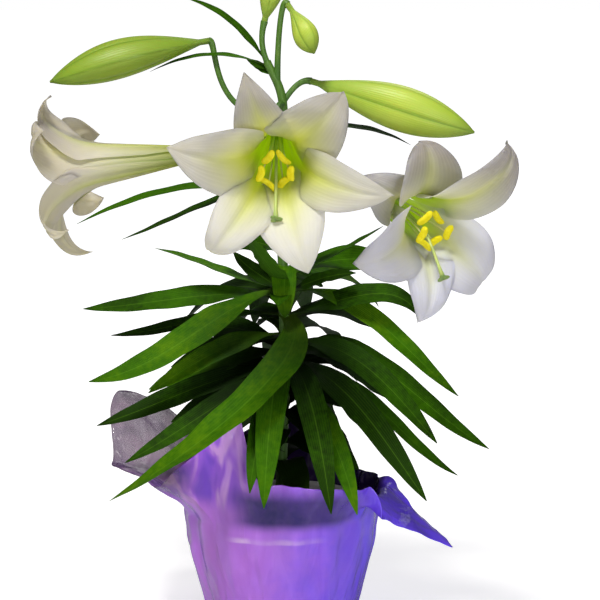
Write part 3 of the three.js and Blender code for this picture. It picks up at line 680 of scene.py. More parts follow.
def allLeaves():
    specs = seenLeaves + bracts + backLeaves
    for group in leafGroups:
        for i in range(group["count"]):
            at = mix(group["top"], group["bottom"], i / (group["count"] - 1))
            specs.append({"at": at, "towards": group["from"] + group["span"] * (i * leaf["golden"] % 1),
                          "reach": group["reach"] + group["vary"] * math.sin(5 * i),
                          "tip": at - group["fall"] + group["vary"] * math.cos(3 * i),
                          "rise": group["rise"], "droop": group["droop"], "width": group["width"]})
    return specs


def leafLine(spec):
    root, turn = stemAt(spec["at"]), spec.get("turn", 0)
    level = heading(spec["towards"])
    tip = np.array([spec["reach"] * level[0], spec["reach"] * level[1], spec["tip"]])
    handle = leaf["handle"] * np.linalg.norm(tip - root)
    return bezier(root, root + handle * heading(spec["towards"] + turn, spec["rise"]),
                  tip - handle * heading(spec["towards"] - leaf["unwinds"] * turn, -spec["droop"]), tip,
                  np.linspace(0, 1, leaf["points"]))


def makeLeaves():
    share = np.linspace(0, 1, leaf["points"])
    past = np.clip((share - leaf["widest"]) / (1 - leaf["widest"]), 0, 1)
    width = np.where(share < leaf["widest"], mix(leaf["footShare"], 1, ease(share / leaf["widest"])),
                     (1 - past ** leaf["taper"][0]) ** leaf["taper"][1])
    specs = allLeaves()
    lines = [leafLine(spec) for spec in specs]
    halves = [np.maximum(spec["width"] / 2 * width, leaf["thinnest"]) / 1000 for spec in specs]
    rolls = [math.radians(spec.get("roll", leaf["tilt"]) * math.cos(math.radians(spec["towards"])))
             * ease(share, 0, leaf["levelFrom"]) for spec in specs]
    paths = makePaths("leafPaths", lines, halfWidth=halves, roll=rolls, seed=list(range(len(specs))))
    return grow("leafBlades", paths, blades, {"Material": leafGreen})


leafBlades = makeLeaves()
settle(leafBlades, "foliage", "leafy_stem")
print("leaves made:", len(leafBlades.data.polygons))

# base: foot of the tube. faces: bearing and slope of its axis. stalk: its height on the stem, a point it bows
# towards, and from how far off it runs straight into the flower. petals: bearing round the axis, how far it
# flares from the axis in degrees, length share and more curl at the tip. Inner and outer ones take turns.
# wraps: petals that reach further round than the rest, in radians. hue: 0 beige, 0.5 white, 1 bluish.
blooms = {
    "front": {
        "base": (-2, -50, 431), "faces": (-90, -11),
        "stalk": {"at": 444, "bow": (-5, -18, 448), "lead": 24},
        "petals": [(50, 126, 1.05, 44), (106, 106, 1.02, 10), (164, 108, 1.07, 14), (230, 112, 1.1, 60),
                   (288, 106, 1.04, 8), (351, 112, 1.12, 16)],
        "hue": 0.4,
    },
    "left": {
        "base": (-69, 8, 404), "faces": (172, -7),
        "stalk": {"at": 432, "bow": (-30, 4, 424), "lead": 24},
        "petals": [(34, 104, 0.95, 70), (68, 104, 0.92, 60), (158, 160, 0.98, 70), (213, 160, 1, 80),
                   (254, 164, 1.1, 24), (314, 138, 1.02, 80)],
        "hue": 0.0,
    },
    "right": {
        "base": (70, -30, 381), "faces": (-64, -10),
        "stalk": {"at": 424, "bow": (28, -10, 412), "lead": 24},
        "petals": [(96, 164, 0.87, 40), (146, 150, 0.74, 30), (199, 124, 0.99, 40), (264, 126, 0.98, 24),
                   (315, 145, 0.97, 30), (57, 124, 1.15, 56)],
        "wraps": {4: 1.16, 5: 1.1},
        "hue": 1.0,
    },
}
# radius: at the widest place, which lies nearer the tip where "widest" is higher. bend: how far the middle
# bows up. green: how much of a deeper green lies on it.
buds = {
    "left": {"base": (-57, 10, 495), "tip": (-184, -10, 463), "radius": 15.5, "bend": 4, "widest": 1.25,
             "green": 1, "stalk": {"at": 436, "bow": (-60, 6, 428), "lead": 8}},
    "right": {"base": (24, 5, 463), "tip": (154, -25, 424), "radius": 18, "bend": 1, "widest": 1.25,
              "stalk": {"at": 446, "bow": (4, 4, 448), "lead": 12}},
    "top": {"base": (-13, 2, 510), "tip": (4, 4, 571), "radius": 10.5, "bend": 1, "widest": 1.1,
            "stalk": {"at": 472, "bow": (-17, 2, 488), "lead": 10}},
    "nodding": {"base": (5, -7, 525), "tip": (27, -20, 486), "radius": 10, "bend": 2, "widest": 1.7,
                "stalk": {"at": 462, "bow": (-2, -7, 510), "lead": 7}},
}


def stalkLine(stalk, end, facing):
    neck = np.array(end, float) + 0.6 * facing
    return bezier(stemAt(stalk["at"]), np.array(stalk["bow"], float), neck - stalk["lead"] * facing, neck,
                  np.linspace(0, 1, stem["stalkPoints"]))


def budAxis(spec):
    return unit(np.array(spec["tip"], float) - np.array(spec["base"], float))


# The stem with a slight knee at each leaf's root, and the stalks, which swell towards the flower.
def makeStem():
    shares = np.linspace(0, 1, stem["points"])
    line = throughPoints(stem["path"], shares)
    knees = sum(np.exp(-((line[:, 2] - spec["at"] + 1.5) / 2.2) ** 2) for spec in seenLeaves)
    lines = [line]
    girths = [(mix(stem["footRadius"], stem["topRadius"], shares) + 0.5 * np.minimum(knees, 1)) / 1000]
    ends = [(spec["stalk"], spec["base"], heading(*spec["faces"])) for spec in blooms.values()]
    ends += [(spec["stalk"], spec["base"], budAxis(spec)) for spec in buds.values()]
    share = np.linspace(0, 1, stem["stalkPoints"])
    for stalk, base, facing in ends:
        lines.append(stalkLine(stalk, base, facing))
        girths.append(stem["stalkRadius"] * (1 + 0.35 * share ** 6 + 0.25 * (1 - share) ** 8) / 1000)
    paths = makePaths("stemPaths", lines, thickness=girths)
    return grow("stemAndStalks", paths, rods, {"Sides": stem["sides"], "Material": stemGreen})


settle(makeStem(), "foliage", "leafy_stem")
print("stem made")

petalLook = {
    "white": tint(241, 236, 209), "shade": tint(222, 214, 190), "throat": tint(190, 200, 60),
    "deepThroat": tint(150, 176, 14), "tube": tint(150, 162, 56), "rib": tint(216, 220, 124),
    # The glow is a painted glow, light given off by the deep throat.
    "beige": tint(230, 214, 178), "bluish": tint(216, 216, 232), "glow": tint(120, 150, 4),
    # The mauve grey is painted shade, laid on the upper petals by the above mark.
    "upperShade": tint(140, 133, 132), "dark": (0.0, 0.0, 0.0, 1.0),
    "blotches": (18.0, 0.3), "lines": (8.0, 0.5), "byBloom": 0.7, "upperShadeShare": (0.22, 0.76),
    # How far the rib, the throat, the deep throat and the tube reach, and from what share to what.
    "ribAcross": (0.0, 0.34, 0.6, 0.0), "ribAlong": (0.92, 0.5), "inThroat": (0.5, 0.92, 1.0, 0.0),
    "inDeep": (0.36, 0.66, 0.9, 0.0), "onTube": (0.12, 0.68, 0.95, 0.0), "paler": (0.5, 1.0, 1.0, 0.5),
    "edgeShift": 0.14, "aboveShift": -0.07,
}


def petalMaterial():
    material, tree = startMaterial("petalWhite")
    along, across, side, hue, above = marksOf(tree, "along", "across", "side", "hue", "above")
    blotch, lines = blotches(tree, *petalLook["blotches"]), veinLines(across, *petalLook["lines"])
    fromMiddle = compute("ABSOLUTE", across)
    byBloom = ramp(hue, (0.0, petalLook["beige"]), (0.5, petalLook["white"]), (1.0, petalLook["bluish"]))
    colour = blend(times(blotch, 0.5), petalLook["white"], petalLook["shade"])
    colour = blend(petalLook["byBloom"], colour, byBloom)
    reach = timesPlus(fromMiddle, petalLook["edgeShift"], timesPlus(above, petalLook["aboveShift"], along))
    throat, deep = (times(remap(reach, *petalLook[label], "SMOOTHSTEP"), side)
                    for label in ("inThroat", "inDeep"))
    throat = times(throat, remap(hue, *petalLook["paler"]))
    rib = remap(fromMiddle, *petalLook["ribAcross"], "SMOOTHSTEP")
    rib = times(rib, remap(along, *petalLook["ribAlong"]))
    tube = times(remap(reach, *petalLook["onTube"]), minus(1.0, side))
    # Painted shade: the upper petals are greyed towards a mauve grey, as far as the above mark says.
    colour = cover(colour, (petalLook["upperShade"], above, timesPlus(hue, *petalLook["upperShadeShare"])),
                   (petalLook["shade"], lines, 0.08), (petalLook["rib"], rib, 1.0),
                   (petalLook["throat"], throat, 1.0), (petalLook["deepThroat"], deep, 1.0),
                   (petalLook["tube"], tube, 1.0))
    # Painted glow: the deep throat gives off a yellow-green light, which stands in for light let through the
    # tube.
    glow = blend(deep, petalLook["dark"], petalLook["glow"])  # light let through by the tube
    return finishMaterial(material, colour, timesPlus(lines, 0.12, blotch), 0.0004, rough=0.5,
                          shine=0.3, Emission_Color=glow, Emission_Strength=0.7,
                          Subsurface_Weight=0.6, Subsurface_Scale=0.004, Subsurface_Radius=(1.0, 0.9, 0.5))


# A plain finish. Its tones run with one mask, and each layer of colour is laid on with another: the blotches,
# the fine lines or a mark of the piece. finish: depth of the relief, roughness and shine. soft: subsurface
# weight and scale.
def plainMaterial(name, pattern, toneMask, tones, finish, layers=(), lines=None, soft=(0.0, 0.05)):
    material, tree = startMaterial(name)
    masks = {"blotch": blotches(tree, *pattern)}
    relief = masks["blotch"]
    if lines:
        masks["lines"] = veinLines(marksOf(tree, "across")[0], *lines)
        relief = timesPlus(masks["lines"], 0.2, relief)
    for label in [toneMask] + [label for label, _, _ in layers]:
        if label not in masks:
            masks[label] = marksOf(tree, label)[0]
    colour = ramp(masks[toneMask], *((at, tint(*tone)) for at, tone in tones))
    colour = cover(colour, *((tint(*over), masks[label], share) for label, share, over in layers))
    weight, scale = soft
    return finishMaterial(material, colour, relief, *finish, Subsurface_Weight=weight, Subsurface_Scale=scale)


petalWhite = petalMaterial()
pollenYellow = plainMaterial(
    "pollenYellow", (300.0, 0.5), "blotch", finish=(0.0003, 0.9, 0.2),
    tones=[(0.25, (220, 204, 10)), (0.5, (244, 232, 36)), (0.8, (252, 248, 104))])
filamentPale = plainMaterial(
    "filamentPale", (120.0, 0.5), "along", finish=(0.0002, 0.45, 0.4), soft=(0.2, 0.002),
    tones=[(0.0, (150, 178, 70)), (0.6, (212, 220, 140)), (1.0, (232, 232, 170))],
    layers=[("blotch", 0.3, (240, 240, 214))])
pistilGreen = plainMaterial(
    "pistilGreen", (180.0, 0.5), "along", finish=(0.0003, 0.4, 0.45), soft=(0.15, 0.002),
    tones=[(0.0, (112, 150, 44)), (0.25, (170, 194, 92)), (0.3, (206, 216, 140)), (0.9, (192, 208, 118)),
           (1.0, (128, 156, 74))],
    layers=[("blotch", 0.25, (88, 120, 44))])
budGreen = plainMaterial(
    "budGreen", (30.0, 0.3), "along", finish=(0.0004, 0.42, 0.4), lines=(30.0, 0.6), soft=(0.15, 0.003),
    tones=[(0.0, (92, 134, 24)), (0.14, (138, 172, 40)), (0.55, (182, 204, 66)), (0.86, (160, 190, 50)),
           (1.0, (112, 146, 32))],
    layers=[("blotch", 0.3, (208, 222, 110)), ("lines", 0.08, (120, 156, 34)),
            ("groove", 0.65, (96, 138, 24)), ("green", 0.6, (98, 132, 8))])

petal = {
    "length": 166, "rows": 60, "columns": 33, "thickness": (0.9, 0.22),  # in the middle and at the margin
    "cup": (7.2, 8),  # radius and height of the round foot that the petals grow from
    "thinning": 0.55, "footRadius": 4.6, "footAngle": 8, "flareFrom": 0.44, "flareEase": 1.45,
    "curlFrom": 0.8, "innerWidth": 57, "outerWidth": 43, "layer": 1.9, "footShare": 0.2, "widest": 0.68,
    "taper": (1.7, 0.95), "openedBy": 0.85, "openRadius": 70, "furthestTurn": 0.8, "roll": 3.0,
    "ripple": (1.6, 2, 9, 2, 2), "frill": (0.8, 4, 31, 5, 3),  # height, nearness to the margin, waves, phases
    "groove": (0.9, 0.11), "pleat": (0.35, 0.3, 0.12),  # depth and width, height, place and width
}
tubeFloor = petal["cup"][1] + 0.3
stamen = {
    "reach": 103, "vary": 5, "spread": 10.5, "sag": 5.2, "filament": (1.0, 0.55), "foot": 3.6,
    "spreading": 2.5, "points": 24, "antherLength": 14.5, "antherRadius": 2.6, "antherBow": 7,
    "turns": (24, 28), "grain": 0.34, "grainSpacing": 0.55,
}
pistil = {
    "reach": 126, "sag": 34, "ovary": 2.3, "style": 1.15, "points": 70, "sides": 24, "stigmaRadius": 4.3,
    # The stigma: how far past the style's end, and how wide, in shares of its radius.
    "stigma": [(-1.6, 0.28), (-1.2, 0.5), (-0.6, 0.8), (0, 0.97), (0.6, 1.0), (1.0, 0.9), (1.2, 0.66),
               (1.15, 0.36), (0.9, 0.08)],
}


# In a bloom's own frame +Z runs out of the trumpet, +Y is up and +X across.
def bloomPlace(spec):
    axis = heading(*spec["faces"])
    across = unit([-axis[1], axis[0], 0])
    turned = np.stack([across, np.cross(axis, across), axis])
    return lambda points: np.asarray(points, float) @ turned + np.array(spec["base"], float)


def petalShell(shape, where, petalSpec, index, hue, furthestTurn):
    bearing, recurve, longer, curl = petalSpec
    inner = index % 2 == 0
    share = np.linspace(0, 1, petal["rows"])
    step = longer * petal["length"] / (petal["rows"] - 1)

    def slopeAt(at):
        flare = np.maximum(0, (at - petal["flareFrom"]) / (1 - petal["flareFrom"]))
        turned = mix(petal["footAngle"], recurve, flare ** petal["flareEase"])
        return np.radians(turned + curl * ease(at, petal["curlFrom"], 1))

    between = slopeAt((share[1:] + share[:-1]) / 2)
    out = np.concatenate([[0], np.cumsum(step * np.sin(between))])
    out = petal["footRadius"] + (0 if inner else petal["layer"]) + out
    depth = petal["cup"][1] / 4 + np.concatenate([[0], np.cumsum(step * np.cos(between))])
    slope = slopeAt(share)
    past = np.clip((share - petal["widest"]) / (1 - petal["widest"]), 0, 1)
    half = (petal["innerWidth"] if inner else petal["outerWidth"]) / 2 * np.where(
        share < petal["widest"], mix(petal["footShare"], 1, ease(share / petal["widest"])),
        (1 - past ** petal["taper"][0]) ** petal["taper"][1])
    half = np.maximum(half, 0.4)
    opened = ease(share, petal["flareFrom"], petal["openedBy"])
    bend = mix(1 / out, 1 / petal["openRadius"], opened)
    side = np.sin(np.linspace(-math.pi / 2, math.pi / 2, petal["columns"]))[None, :]
    column = lambda values: np.asarray(values)[:, None]
    turn = np.minimum(column(half * bend), furthestTurn) * side
    lift = (1 - np.cos(turn)) / column(bend)
    for high, margin, waves, onward, across in (petal["ripple"], petal["frill"]):
        phase = waves * column(share) + onward * index + across * side
        lift += high * np.abs(side) ** margin * column(opened) * np.sin(phase)
    lift -= petal["roll"] * np.abs(side) ** 6 * column(opened * (1 - past ** 3))
    fading = column(ease(share, 0.02, 0.2) * (1 - ease(share, 0.86, 1.0)))
    grooveDepth, grooveWidth = petal["groove"]
    pleatHeight, pleatAt, pleatWidth = petal["pleat"]
    lift -= grooveDepth * np.exp(-(side / grooveWidth) ** 2) * fading
    lift += pleatHeight * np.exp(-((np.abs(side) - pleatAt) / pleatWidth) ** 2) * fading
    middleWay, acrossWay = heading(bearing), heading(bearing + 90)
    back = -np.cos(slope)
    inwards = np.stack([back * middleWay[0], back * middleWay[1], np.sin(slope)], -1)[:, None, :]
    points = np.stack([out * middleWay[0], out * middleWay[1], depth], -1)[:, None, :]
    points = points + acrossWay * (np.sin(turn) / column(bend))[..., None] + inwards * lift[..., None]
    thick = mix(*petal["thickness"], np.abs(side) ** 3) * column(1 - petal["thinning"] * share)
    shift = inwards * (thick / 2)[..., None]
    # The above mark, higher on petals that point up once open, lays painted shade on the upper petals.
    addSheet(shape, where(points + shift), where(points - shift), hue=hue,
             along=np.broadcast_to(column(share), lift.shape), across=np.broadcast_to(side, lift.shape),
             above=(0.5 + 0.5 * middleWay[1]) * opened.repeat(petal["columns"]))


def makeBloom(name, spec):
    shape, where = newShape(), bloomPlace(spec)
    for index, petalSpec in enumerate(spec["petals"]):
        wrap = spec.get("wraps", {}).get(index, petal["furthestTurn"])
        petalShell(shape, where, petalSpec, index, spec["hue"], wrap)
    radius, height = petal["cup"]
    rise = np.linspace(-1, 1, 15)[1:-1]
    rings = turnedRings(np.stack([radius * np.sqrt(1 - rise ** 2), height / 2 * (1 + rise)], -1), 36)
    lobes = 1 + 0.06 * np.cos(6 * np.arctan2(rings[..., 1], rings[..., 0]))
    rings[..., :2] *= lobes[..., None]
    addLoft(shape, where(rings), along=0.0, across=0.4, side=0.0, hue=spec["hue"], above=0.0)
    return makePiece("bloom" + name.capitalize(), shape, petalWhite)


# A line from the bottom of the tube. It spreads away from the axis at an angle round it, and its end sags.
def saggingLine(reach, sag, spread, angle, foot, power, points):
    share = np.linspace(0, 1, 5)
    out = foot + (spread - foot) * share ** power
    knots = np.stack([out * math.cos(angle), out * math.sin(angle) - sag * share ** power,
                      tubeFloor + share * (reach - tubeFloor)], -1)
    return throughPoints(knots, np.linspace(0, 1, points))


# A closed skin round a line, [points, 3], with a radius at each point and for each angle.
def sweep(shape, line, radii, sides, **marks):
    ahead = unit(np.gradient(line, axis=0))
    sideways = [unit(np.cross(ahead[0], [0.3, 0.5, 0.81]))]
    for way in ahead[1:]:
        sideways.append(unit(sideways[-1] - way * np.dot(sideways[-1], way)))
    sideways = np.array(sideways)[:, None]
    upwards = np.cross(ahead, sideways[:, 0])[:, None]
    angle = circleAngles(sides)[:, None]
    radii = np.broadcast_to(radii, (len(line), sides))[..., None]
    rings = line[:, None] + radii * (np.cos(angle) * sideways + np.sin(angle) * upwards)
    marks = {label: np.broadcast_to(value, (len(line), sides)) for label, value in marks.items()}
    addLoft(shape, rings, **marks)


def makeStamens(name, spec):
    where = bloomPlace(spec)
    filaments, girths, anthers = [], [], newShape()
    share, at = np.linspace(0, 1, stamen["points"]), np.linspace(-0.5, 0.5, 17)[:, None]
    across, along = stamen["turns"]
    girth = np.maximum((1 - (2 * at) ** 4) ** 0.5, 0.25)
    section = 0.82 + 0.2 * np.cos(2 * circleAngles(16))[None]
    for i in range(6):
        reach = stamen["reach"] + stamen["vary"] * math.cos(2 * i)
        line = saggingLine(reach, stamen["sag"], stamen["spread"], math.radians(60 * i), stamen["foot"],
                           stamen["spreading"], len(share))
        filaments.append(where(line))
        girths.append(mix(*stamen["filament"], share) / 1000)
        lying = heading(60 * i + 90 + across * math.sin(4 * i), along * math.cos(5 * i))
        bowed = lying * at * stamen["antherLength"] + heading(60 * i) * stamen["antherBow"] * at ** 2
        sweep(anthers, where(line[-1] + bowed + [0, 0, 0.6]), stamen["antherRadius"] * girth * section, 16)
    side = name.capitalize()
    threads = makePaths("filaments" + name, filaments, thickness=girths)
    sticks = grow("filaments" + side, threads, rods, {"Sides": 10, "Material": filamentPale})
    dusted = grow("anthers" + side, makeMesh("anthers" + side, anthers), grains, {
        "Spacing": stamen["grainSpacing"] / 1000, "Density": 4e7, "Smallest": 0.6 * stamen["grain"] / 1000,
        "Largest": stamen["grain"] / 1000, "Lumps": 0.25, "Seed": 3, "Keep Ground": True,
        "Material": pollenYellow})
    return sticks, dusted


def makePistil(name, spec):
    shape, where = newShape(), bloomPlace(spec)
    line = saggingLine(pistil["reach"], pistil["sag"], 0, 0, 0, 4, pistil["points"])
    share = np.linspace(0, 1, pistil["points"])
    atOvary = 1 - ease(share, 0.2, 0.27)
    girth = mix(pistil["style"], pistil["ovary"], atOvary) + 0.7 * ease(share, 0.93, 1)
    angle = circleAngles(pistil["sides"])[None]
    lobed = 1 + np.cos(3 * angle) * (0.13 * atOvary + 0.1 * ease(share, 0.9, 1))[:, None]
    sweep(shape, where(line), girth[:, None] * lobed, pistil["sides"], along=0.97 * share[:, None])
    rise, wide = np.array(pistil["stigma"]).T[..., None]
    notch = np.exp(-((angle * 3 + 0.7) % (2 * math.pi) - math.pi) ** 2 * 4)
    lobes = 1 + 0.26 * np.cos(3 * angle - 0.4) - 0.2 * notch
    padLine = line[-1] + rise * unit(line[-1] - line[-3])
    sweep(shape, where(padLine), pistil["stigmaRadius"] * wide * lobes, pistil["sides"], along=1.0)
    return makePiece("pistil" + name.capitalize(), shape, pistilGreen)


for side, spec in blooms.items():
    settle(makeBloom(side, spec), "petals", "bloom_" + side)
    for piece in makeStamens(side, spec):
        settle(piece, "stamens", "stamens_" + side)
    settle(makePistil(side, spec), "pistil", "pistil_" + side)
print("blooms made")

bud = {
    "rows": 64, "sides": 60, "ridge": 0.06, "neck": (2.6, 1.8),
    "groove": (0.055, 0.09), "fold": (0.015, 0.07),  # depth or height, and width
}


# A club of three broad outer petals closed over the inner ones, which show as a strip between them.
def makeBud(name, spec):
    base, tip = np.array(spec["base"], float), np.array(spec["tip"], float)
    axis = budAxis(spec)
    sideways = unit([-axis[1], axis[0], 0])
    upwards = np.cross(axis, sideways)
    share, angle = np.linspace(0, 1, bud["rows"])[:, None], circleAngles(bud["sides"])[None]
    neck, neckTaper = bud["neck"]
    club = np.sin(math.pi * share ** spec["widest"]) ** 0.8
    girth = np.maximum(spec["radius"] * club, neck - neckTaper * share)
    fromSeam = np.abs((3 * angle + math.pi) % (2 * math.pi) - math.pi) / 3
    (seamDepth, seamWidth), (foldHeight, foldWidth) = bud["groove"], bud["fold"]
    seam = np.exp(-((math.pi / 3 - fromSeam) / seamWidth) ** 2) * ease(share, 0.08, 0.3)
    fold = np.exp(-(fromSeam / foldWidth) ** 2) * ease(share, 0.1, 0.4)
    radius = girth * (1 + bud["ridge"] * np.cos(3 * angle) - seamDepth * seam + foldHeight * fold)
    length = np.linalg.norm(tip - base)
    middle = base + axis * share * length + upwards * spec["bend"] * np.sin(math.pi * share)
    outwards = np.cos(angle)[..., None] * sideways + np.sin(angle)[..., None] * upwards
    return makeLoft("bud" + name.capitalize(), middle[:, None] + radius[..., None] * outwards, budGreen,
                    along=np.broadcast_to(share, radius.shape),
                    across=np.broadcast_to(angle / math.pi - 1, radius.shape),
                    groove=np.maximum(seam, 0.6 * fold), green=spec.get("green", 0))


for side, spec in buds.items():
    settle(makeBud(side, spec), "buds", "bud_" + side)
print("buds made")

# at: bearing. length: of the collar above the rim. lean: out of the upright. The corners of the square come
# to a point, and one of them is folded down.
filmEdge = readRows("at length lean folded pointed", [
    (-160, 38, 58), (-113, 92, -4, 0, 1), (-100, 41, 8), (-47, 44, 40), (-41, 40, 30, 1),
    (-21, 95, 10, 1, 1), (0, 30, 12, 1), (9, 20, 12), (48, 16, 14), (88, 64, 45, 0, 1), (124, 36, 32),
    (156, 112, 50), (178, 72, 74),
])
pot = {
    "height": 110, "rim": 76, "base": 54, "wall": 1.6, "floor": 2, "lipDepth": 9, "lipOut": 1.5, "sides": 144,
    "drainCount": 5, "drainRadius": 5, "drainCircle": 36,
}
film = {
    "thickness": 0.35, "columns": 520, "baseRows": 5, "wallRows": 22, "rimRows": 5, "collarRows": 26,
    "foot": 55.1, "rim": 80, "pleats": 18, "pleatDepth": 1.1, "wallLean": 12, "earlyLean": 0.3,
    "pointSharpness": 1.3, "crease": 2.6, "collarCrease": 4.2, "wallCrumple": 1.5, "collarCrumple": 2.6,
    "drawnIn": (4, 0.6),  # how far below the pot's lip, and how deep
    "fold": (20, 7, 124),  # how far up the collar, how soft, and how it leans past the fold
    # Waves round the pot: how many, how strong, from where, and how far they drift upwards.
    "foldWaves": [(7, 1.0, 0.6, 1.1), (11, 0.8, 2.1, -0.9), (17, 0.7, 4.0, 0.7), (29, 0.35, 1.2, -1.6),
                  (43, 0.22, 0.3, 2.2)],
    "crumpleWaves": [(9, 1.0, 0.4, 2.6), (13, 0.9, 1.7, -3.4), (21, 0.6, 3.1, 4.3), (34, 0.4, 0.9, -5.6)],
}


def collarAt(bearing):
    turns = [(bearing - station["at"]) % 360 for station in filmEdge]
    k = int(np.argmin(turns))
    before, after = filmEdge[k], filmEdge[(k + 1) % len(filmEdge)]
    share = turns[k] / ((after["at"] - before["at"]) % 360)
    eased = float(ease(share))
    byLength = eased
    if before.get("pointed"):
        byLength = 1 - (1 - share) ** film["pointSharpness"]
    if after.get("pointed"):
        byLength = share ** film["pointSharpness"]
    return (mix(before["length"], after["length"], byLength), mix(before["lean"], after["lean"], eased),
            mix(before.get("folded", 0), after.get("folded", 0), eased))


# Waves round the pot added up, at a bearing in degrees and a height share. shape: what a wave is made of.
def wavesAt(waves, bearing, height, shape):
    turn = math.radians(bearing)
    total = sum(size * shape(np.sin(count * turn + phase + drift * height))
                for count, size, phase, drift in waves)
    return total / sum(size for _, size, _, _ in waves)


# Irregular soft folds, and sharp small creases that cross one another, both from 0 to 1.
def foldsAt(bearing, height):
    return 0.5 + wavesAt(film["foldWaves"], bearing, height, np.asarray) / 2


def crumpleAt(bearing, height):
    return wavesAt(film["crumpleWaves"], bearing, height, np.abs)


def filmLine(bearing):
    foldHeight, foldBend, foldLean = film["fold"]
    below, drawn = film["drawnIn"]
    rimHeight = potFoot + pot["height"]
    lipFoot = rimHeight - pot["lipDepth"] - below
    pleat = film["pleatDepth"] * math.cos(math.radians(bearing * film["pleats"]))
    half = 0.5
    base = [(film["foot"] * share, half) for share in np.linspace(0, 0.97, film["baseRows"])]
    up = np.linspace(0, 1, film["wallRows"])
    height = half + (lipFoot - half) * up
    radius = mix(film["foot"], film["rim"] - drawn, up) + pleat * ease(up, 0, 0.9) * 0.9
    taut = ease(up, 0, 0.3) * (1 - ease(up, 0.8, 1))
    creases = film["crease"] * foldsAt(bearing, 2 * up) + film["wallCrumple"] * crumpleAt(bearing, 2 * up)
    radius += taut * creases
    radius[0] -= 0.4
    line = base + list(zip(radius, height))
    rise = np.linspace(0, 1, film["rimRows"] + 1)[1:]
    line += [(mix(line[-1][0], film["rim"] + pleat, ease(share)) + 0.5 * math.sin(math.pi * share),
              mix(lipFoot, rimHeight, share)) for share in rise]
    length, lean, folded = collarAt(bearing)
    firstLean = mix(film["wallLean"], lean, film["earlyLean"])
    steps = film["collarRows"]
    out, high = line[-1]
    for i in range(1, steps + 1):
        along = (i - 0.5) / steps
        pastFold = folded * float(ease(along * length, foldHeight - foldBend, foldHeight + foldBend))
        angle = math.radians(mix(mix(firstLean, lean, 1 - (1 - along) ** 2), foldLean, pastFold))
        out += length / steps * math.sin(angle)
        high += length / steps * math.cos(angle)
        wave = film["collarCrease"] * (foldsAt(bearing + 9 * along, 3 * along + 4) - 0.5)
        wave += film["collarCrumple"] * (crumpleAt(bearing, along * length / 40) - 0.5)
        wave *= float(ease(along, 0, 0.5))
        line.append((out + wave * math.cos(angle), high - wave * math.sin(angle)))
    return np.array(line)


def makeFilm():
    bearings = np.arange(film["columns"]) * 360 / film["columns"]
    columns = []
    for bearing in bearings:
        line, turn = filmLine(bearing), math.radians(bearing)
        columns.append(np.stack([line[:, 0] * math.cos(turn), line[:, 0] * math.sin(turn), line[:, 1]], -1))
    points = np.stack(columns, 1)  # rows from the middle of the base to the edge
    rows = len(points)
    alongRow = np.roll(points, -1, 1) - np.roll(points, 1, 1)
    upRow = np.gradient(points, axis=0)
    normals = unit(np.cross(alongRow, upRow) + [0, 0, 1e-9])
    normals[0] = (0, 0, -1)
    shift = normals * film["thickness"] / 2
    collar = np.clip((np.arange(rows) - (rows - film["collarRows"])) / film["collarRows"], 0, 1)[:, None]
    folded = np.array([collarAt(bearing)[2] for bearing in bearings])
    shape = newShape()
    addSheet(shape, points - shift, points + shift, ring=True, folded=np.clip(8 * collar, 0, 1) * folded)
    return makePiece("filmCover", shape, filmPurple)


filmLook = {
    "tones": ((0.0, tint(196, 116, 224)), (0.45, tint(174, 104, 238)), (0.75, tint(126, 76, 246)),
              (1.0, tint(88, 50, 246))),
    # The corner's streaks are painted light and shade: dark violet for shade under the leaves, bright lilac
    # for highlights.
    "streaks": ((0.36, tint(74, 30, 190)), (0.5, tint(150, 84, 226)), (0.62, tint(222, 170, 240))),
    # The pale lip colour is a painted highlight, a line on the film over the pot's rim at the front.
    "crinkle": tint(206, 170, 236), "lip": tint(236, 206, 246), "shaded": tint(18, 9, 88),
    # The back-left corner's grey-brown tones are painted shade in place of the film's purple.
    "lobe": tint(124, 102, 112), "lobeDark": tint(60, 50, 52), "shadeWithin": tint(30, 18, 44),
    "edge": tint(84, 36, 196), "folded": tint(98, 70, 236),
    # Pattern sizes: scale, detail and distortion. Blotches: scale and fine share.
    "crinkles": (46.0, 4.0, 1.2), "streakNoise": (60.0, 2.0, 0.6), "buckles": (17.0, 2.0, 0.8),
    "blotches": (12.0, 0.2), "patches": (26.0, 0.12), "patchRange": (0.4, 0.62),
    "westToEast": (-80.0, 80.0), "solid": (0.3, 0.7, 0.8, 0.92), "roughness": (0.3, 0.7, 0.12, 0.26),
}
# Where on the film each tone lies, in mm up and then eastwards.
filmPatches = {
    # Front-left corner where painted highlights and painted shade are laid on.
    "corner": ((122, 140, 300, 320), (-120, -96, -40, -20)),
    # A painted highlight line over the pot's rim, at the front only.
    "lip": ((99.5, 101.5, 102.5, 106.5), (-46, -28, 12, 40)),
    "free": ((108, 120, 136, 152), (-50, -22, 40, 84)),
    # Inner side of the film round the plant, painted with dark shade.
    "shadeWithin": ((40, 60, 150, 190), (-110, -60, 300, 400)),
    # Back-left corner, painted in grey-brown shade.
    "lobe": ((118, 150, 400, 500), (-300, -280, -96, -58)),
}


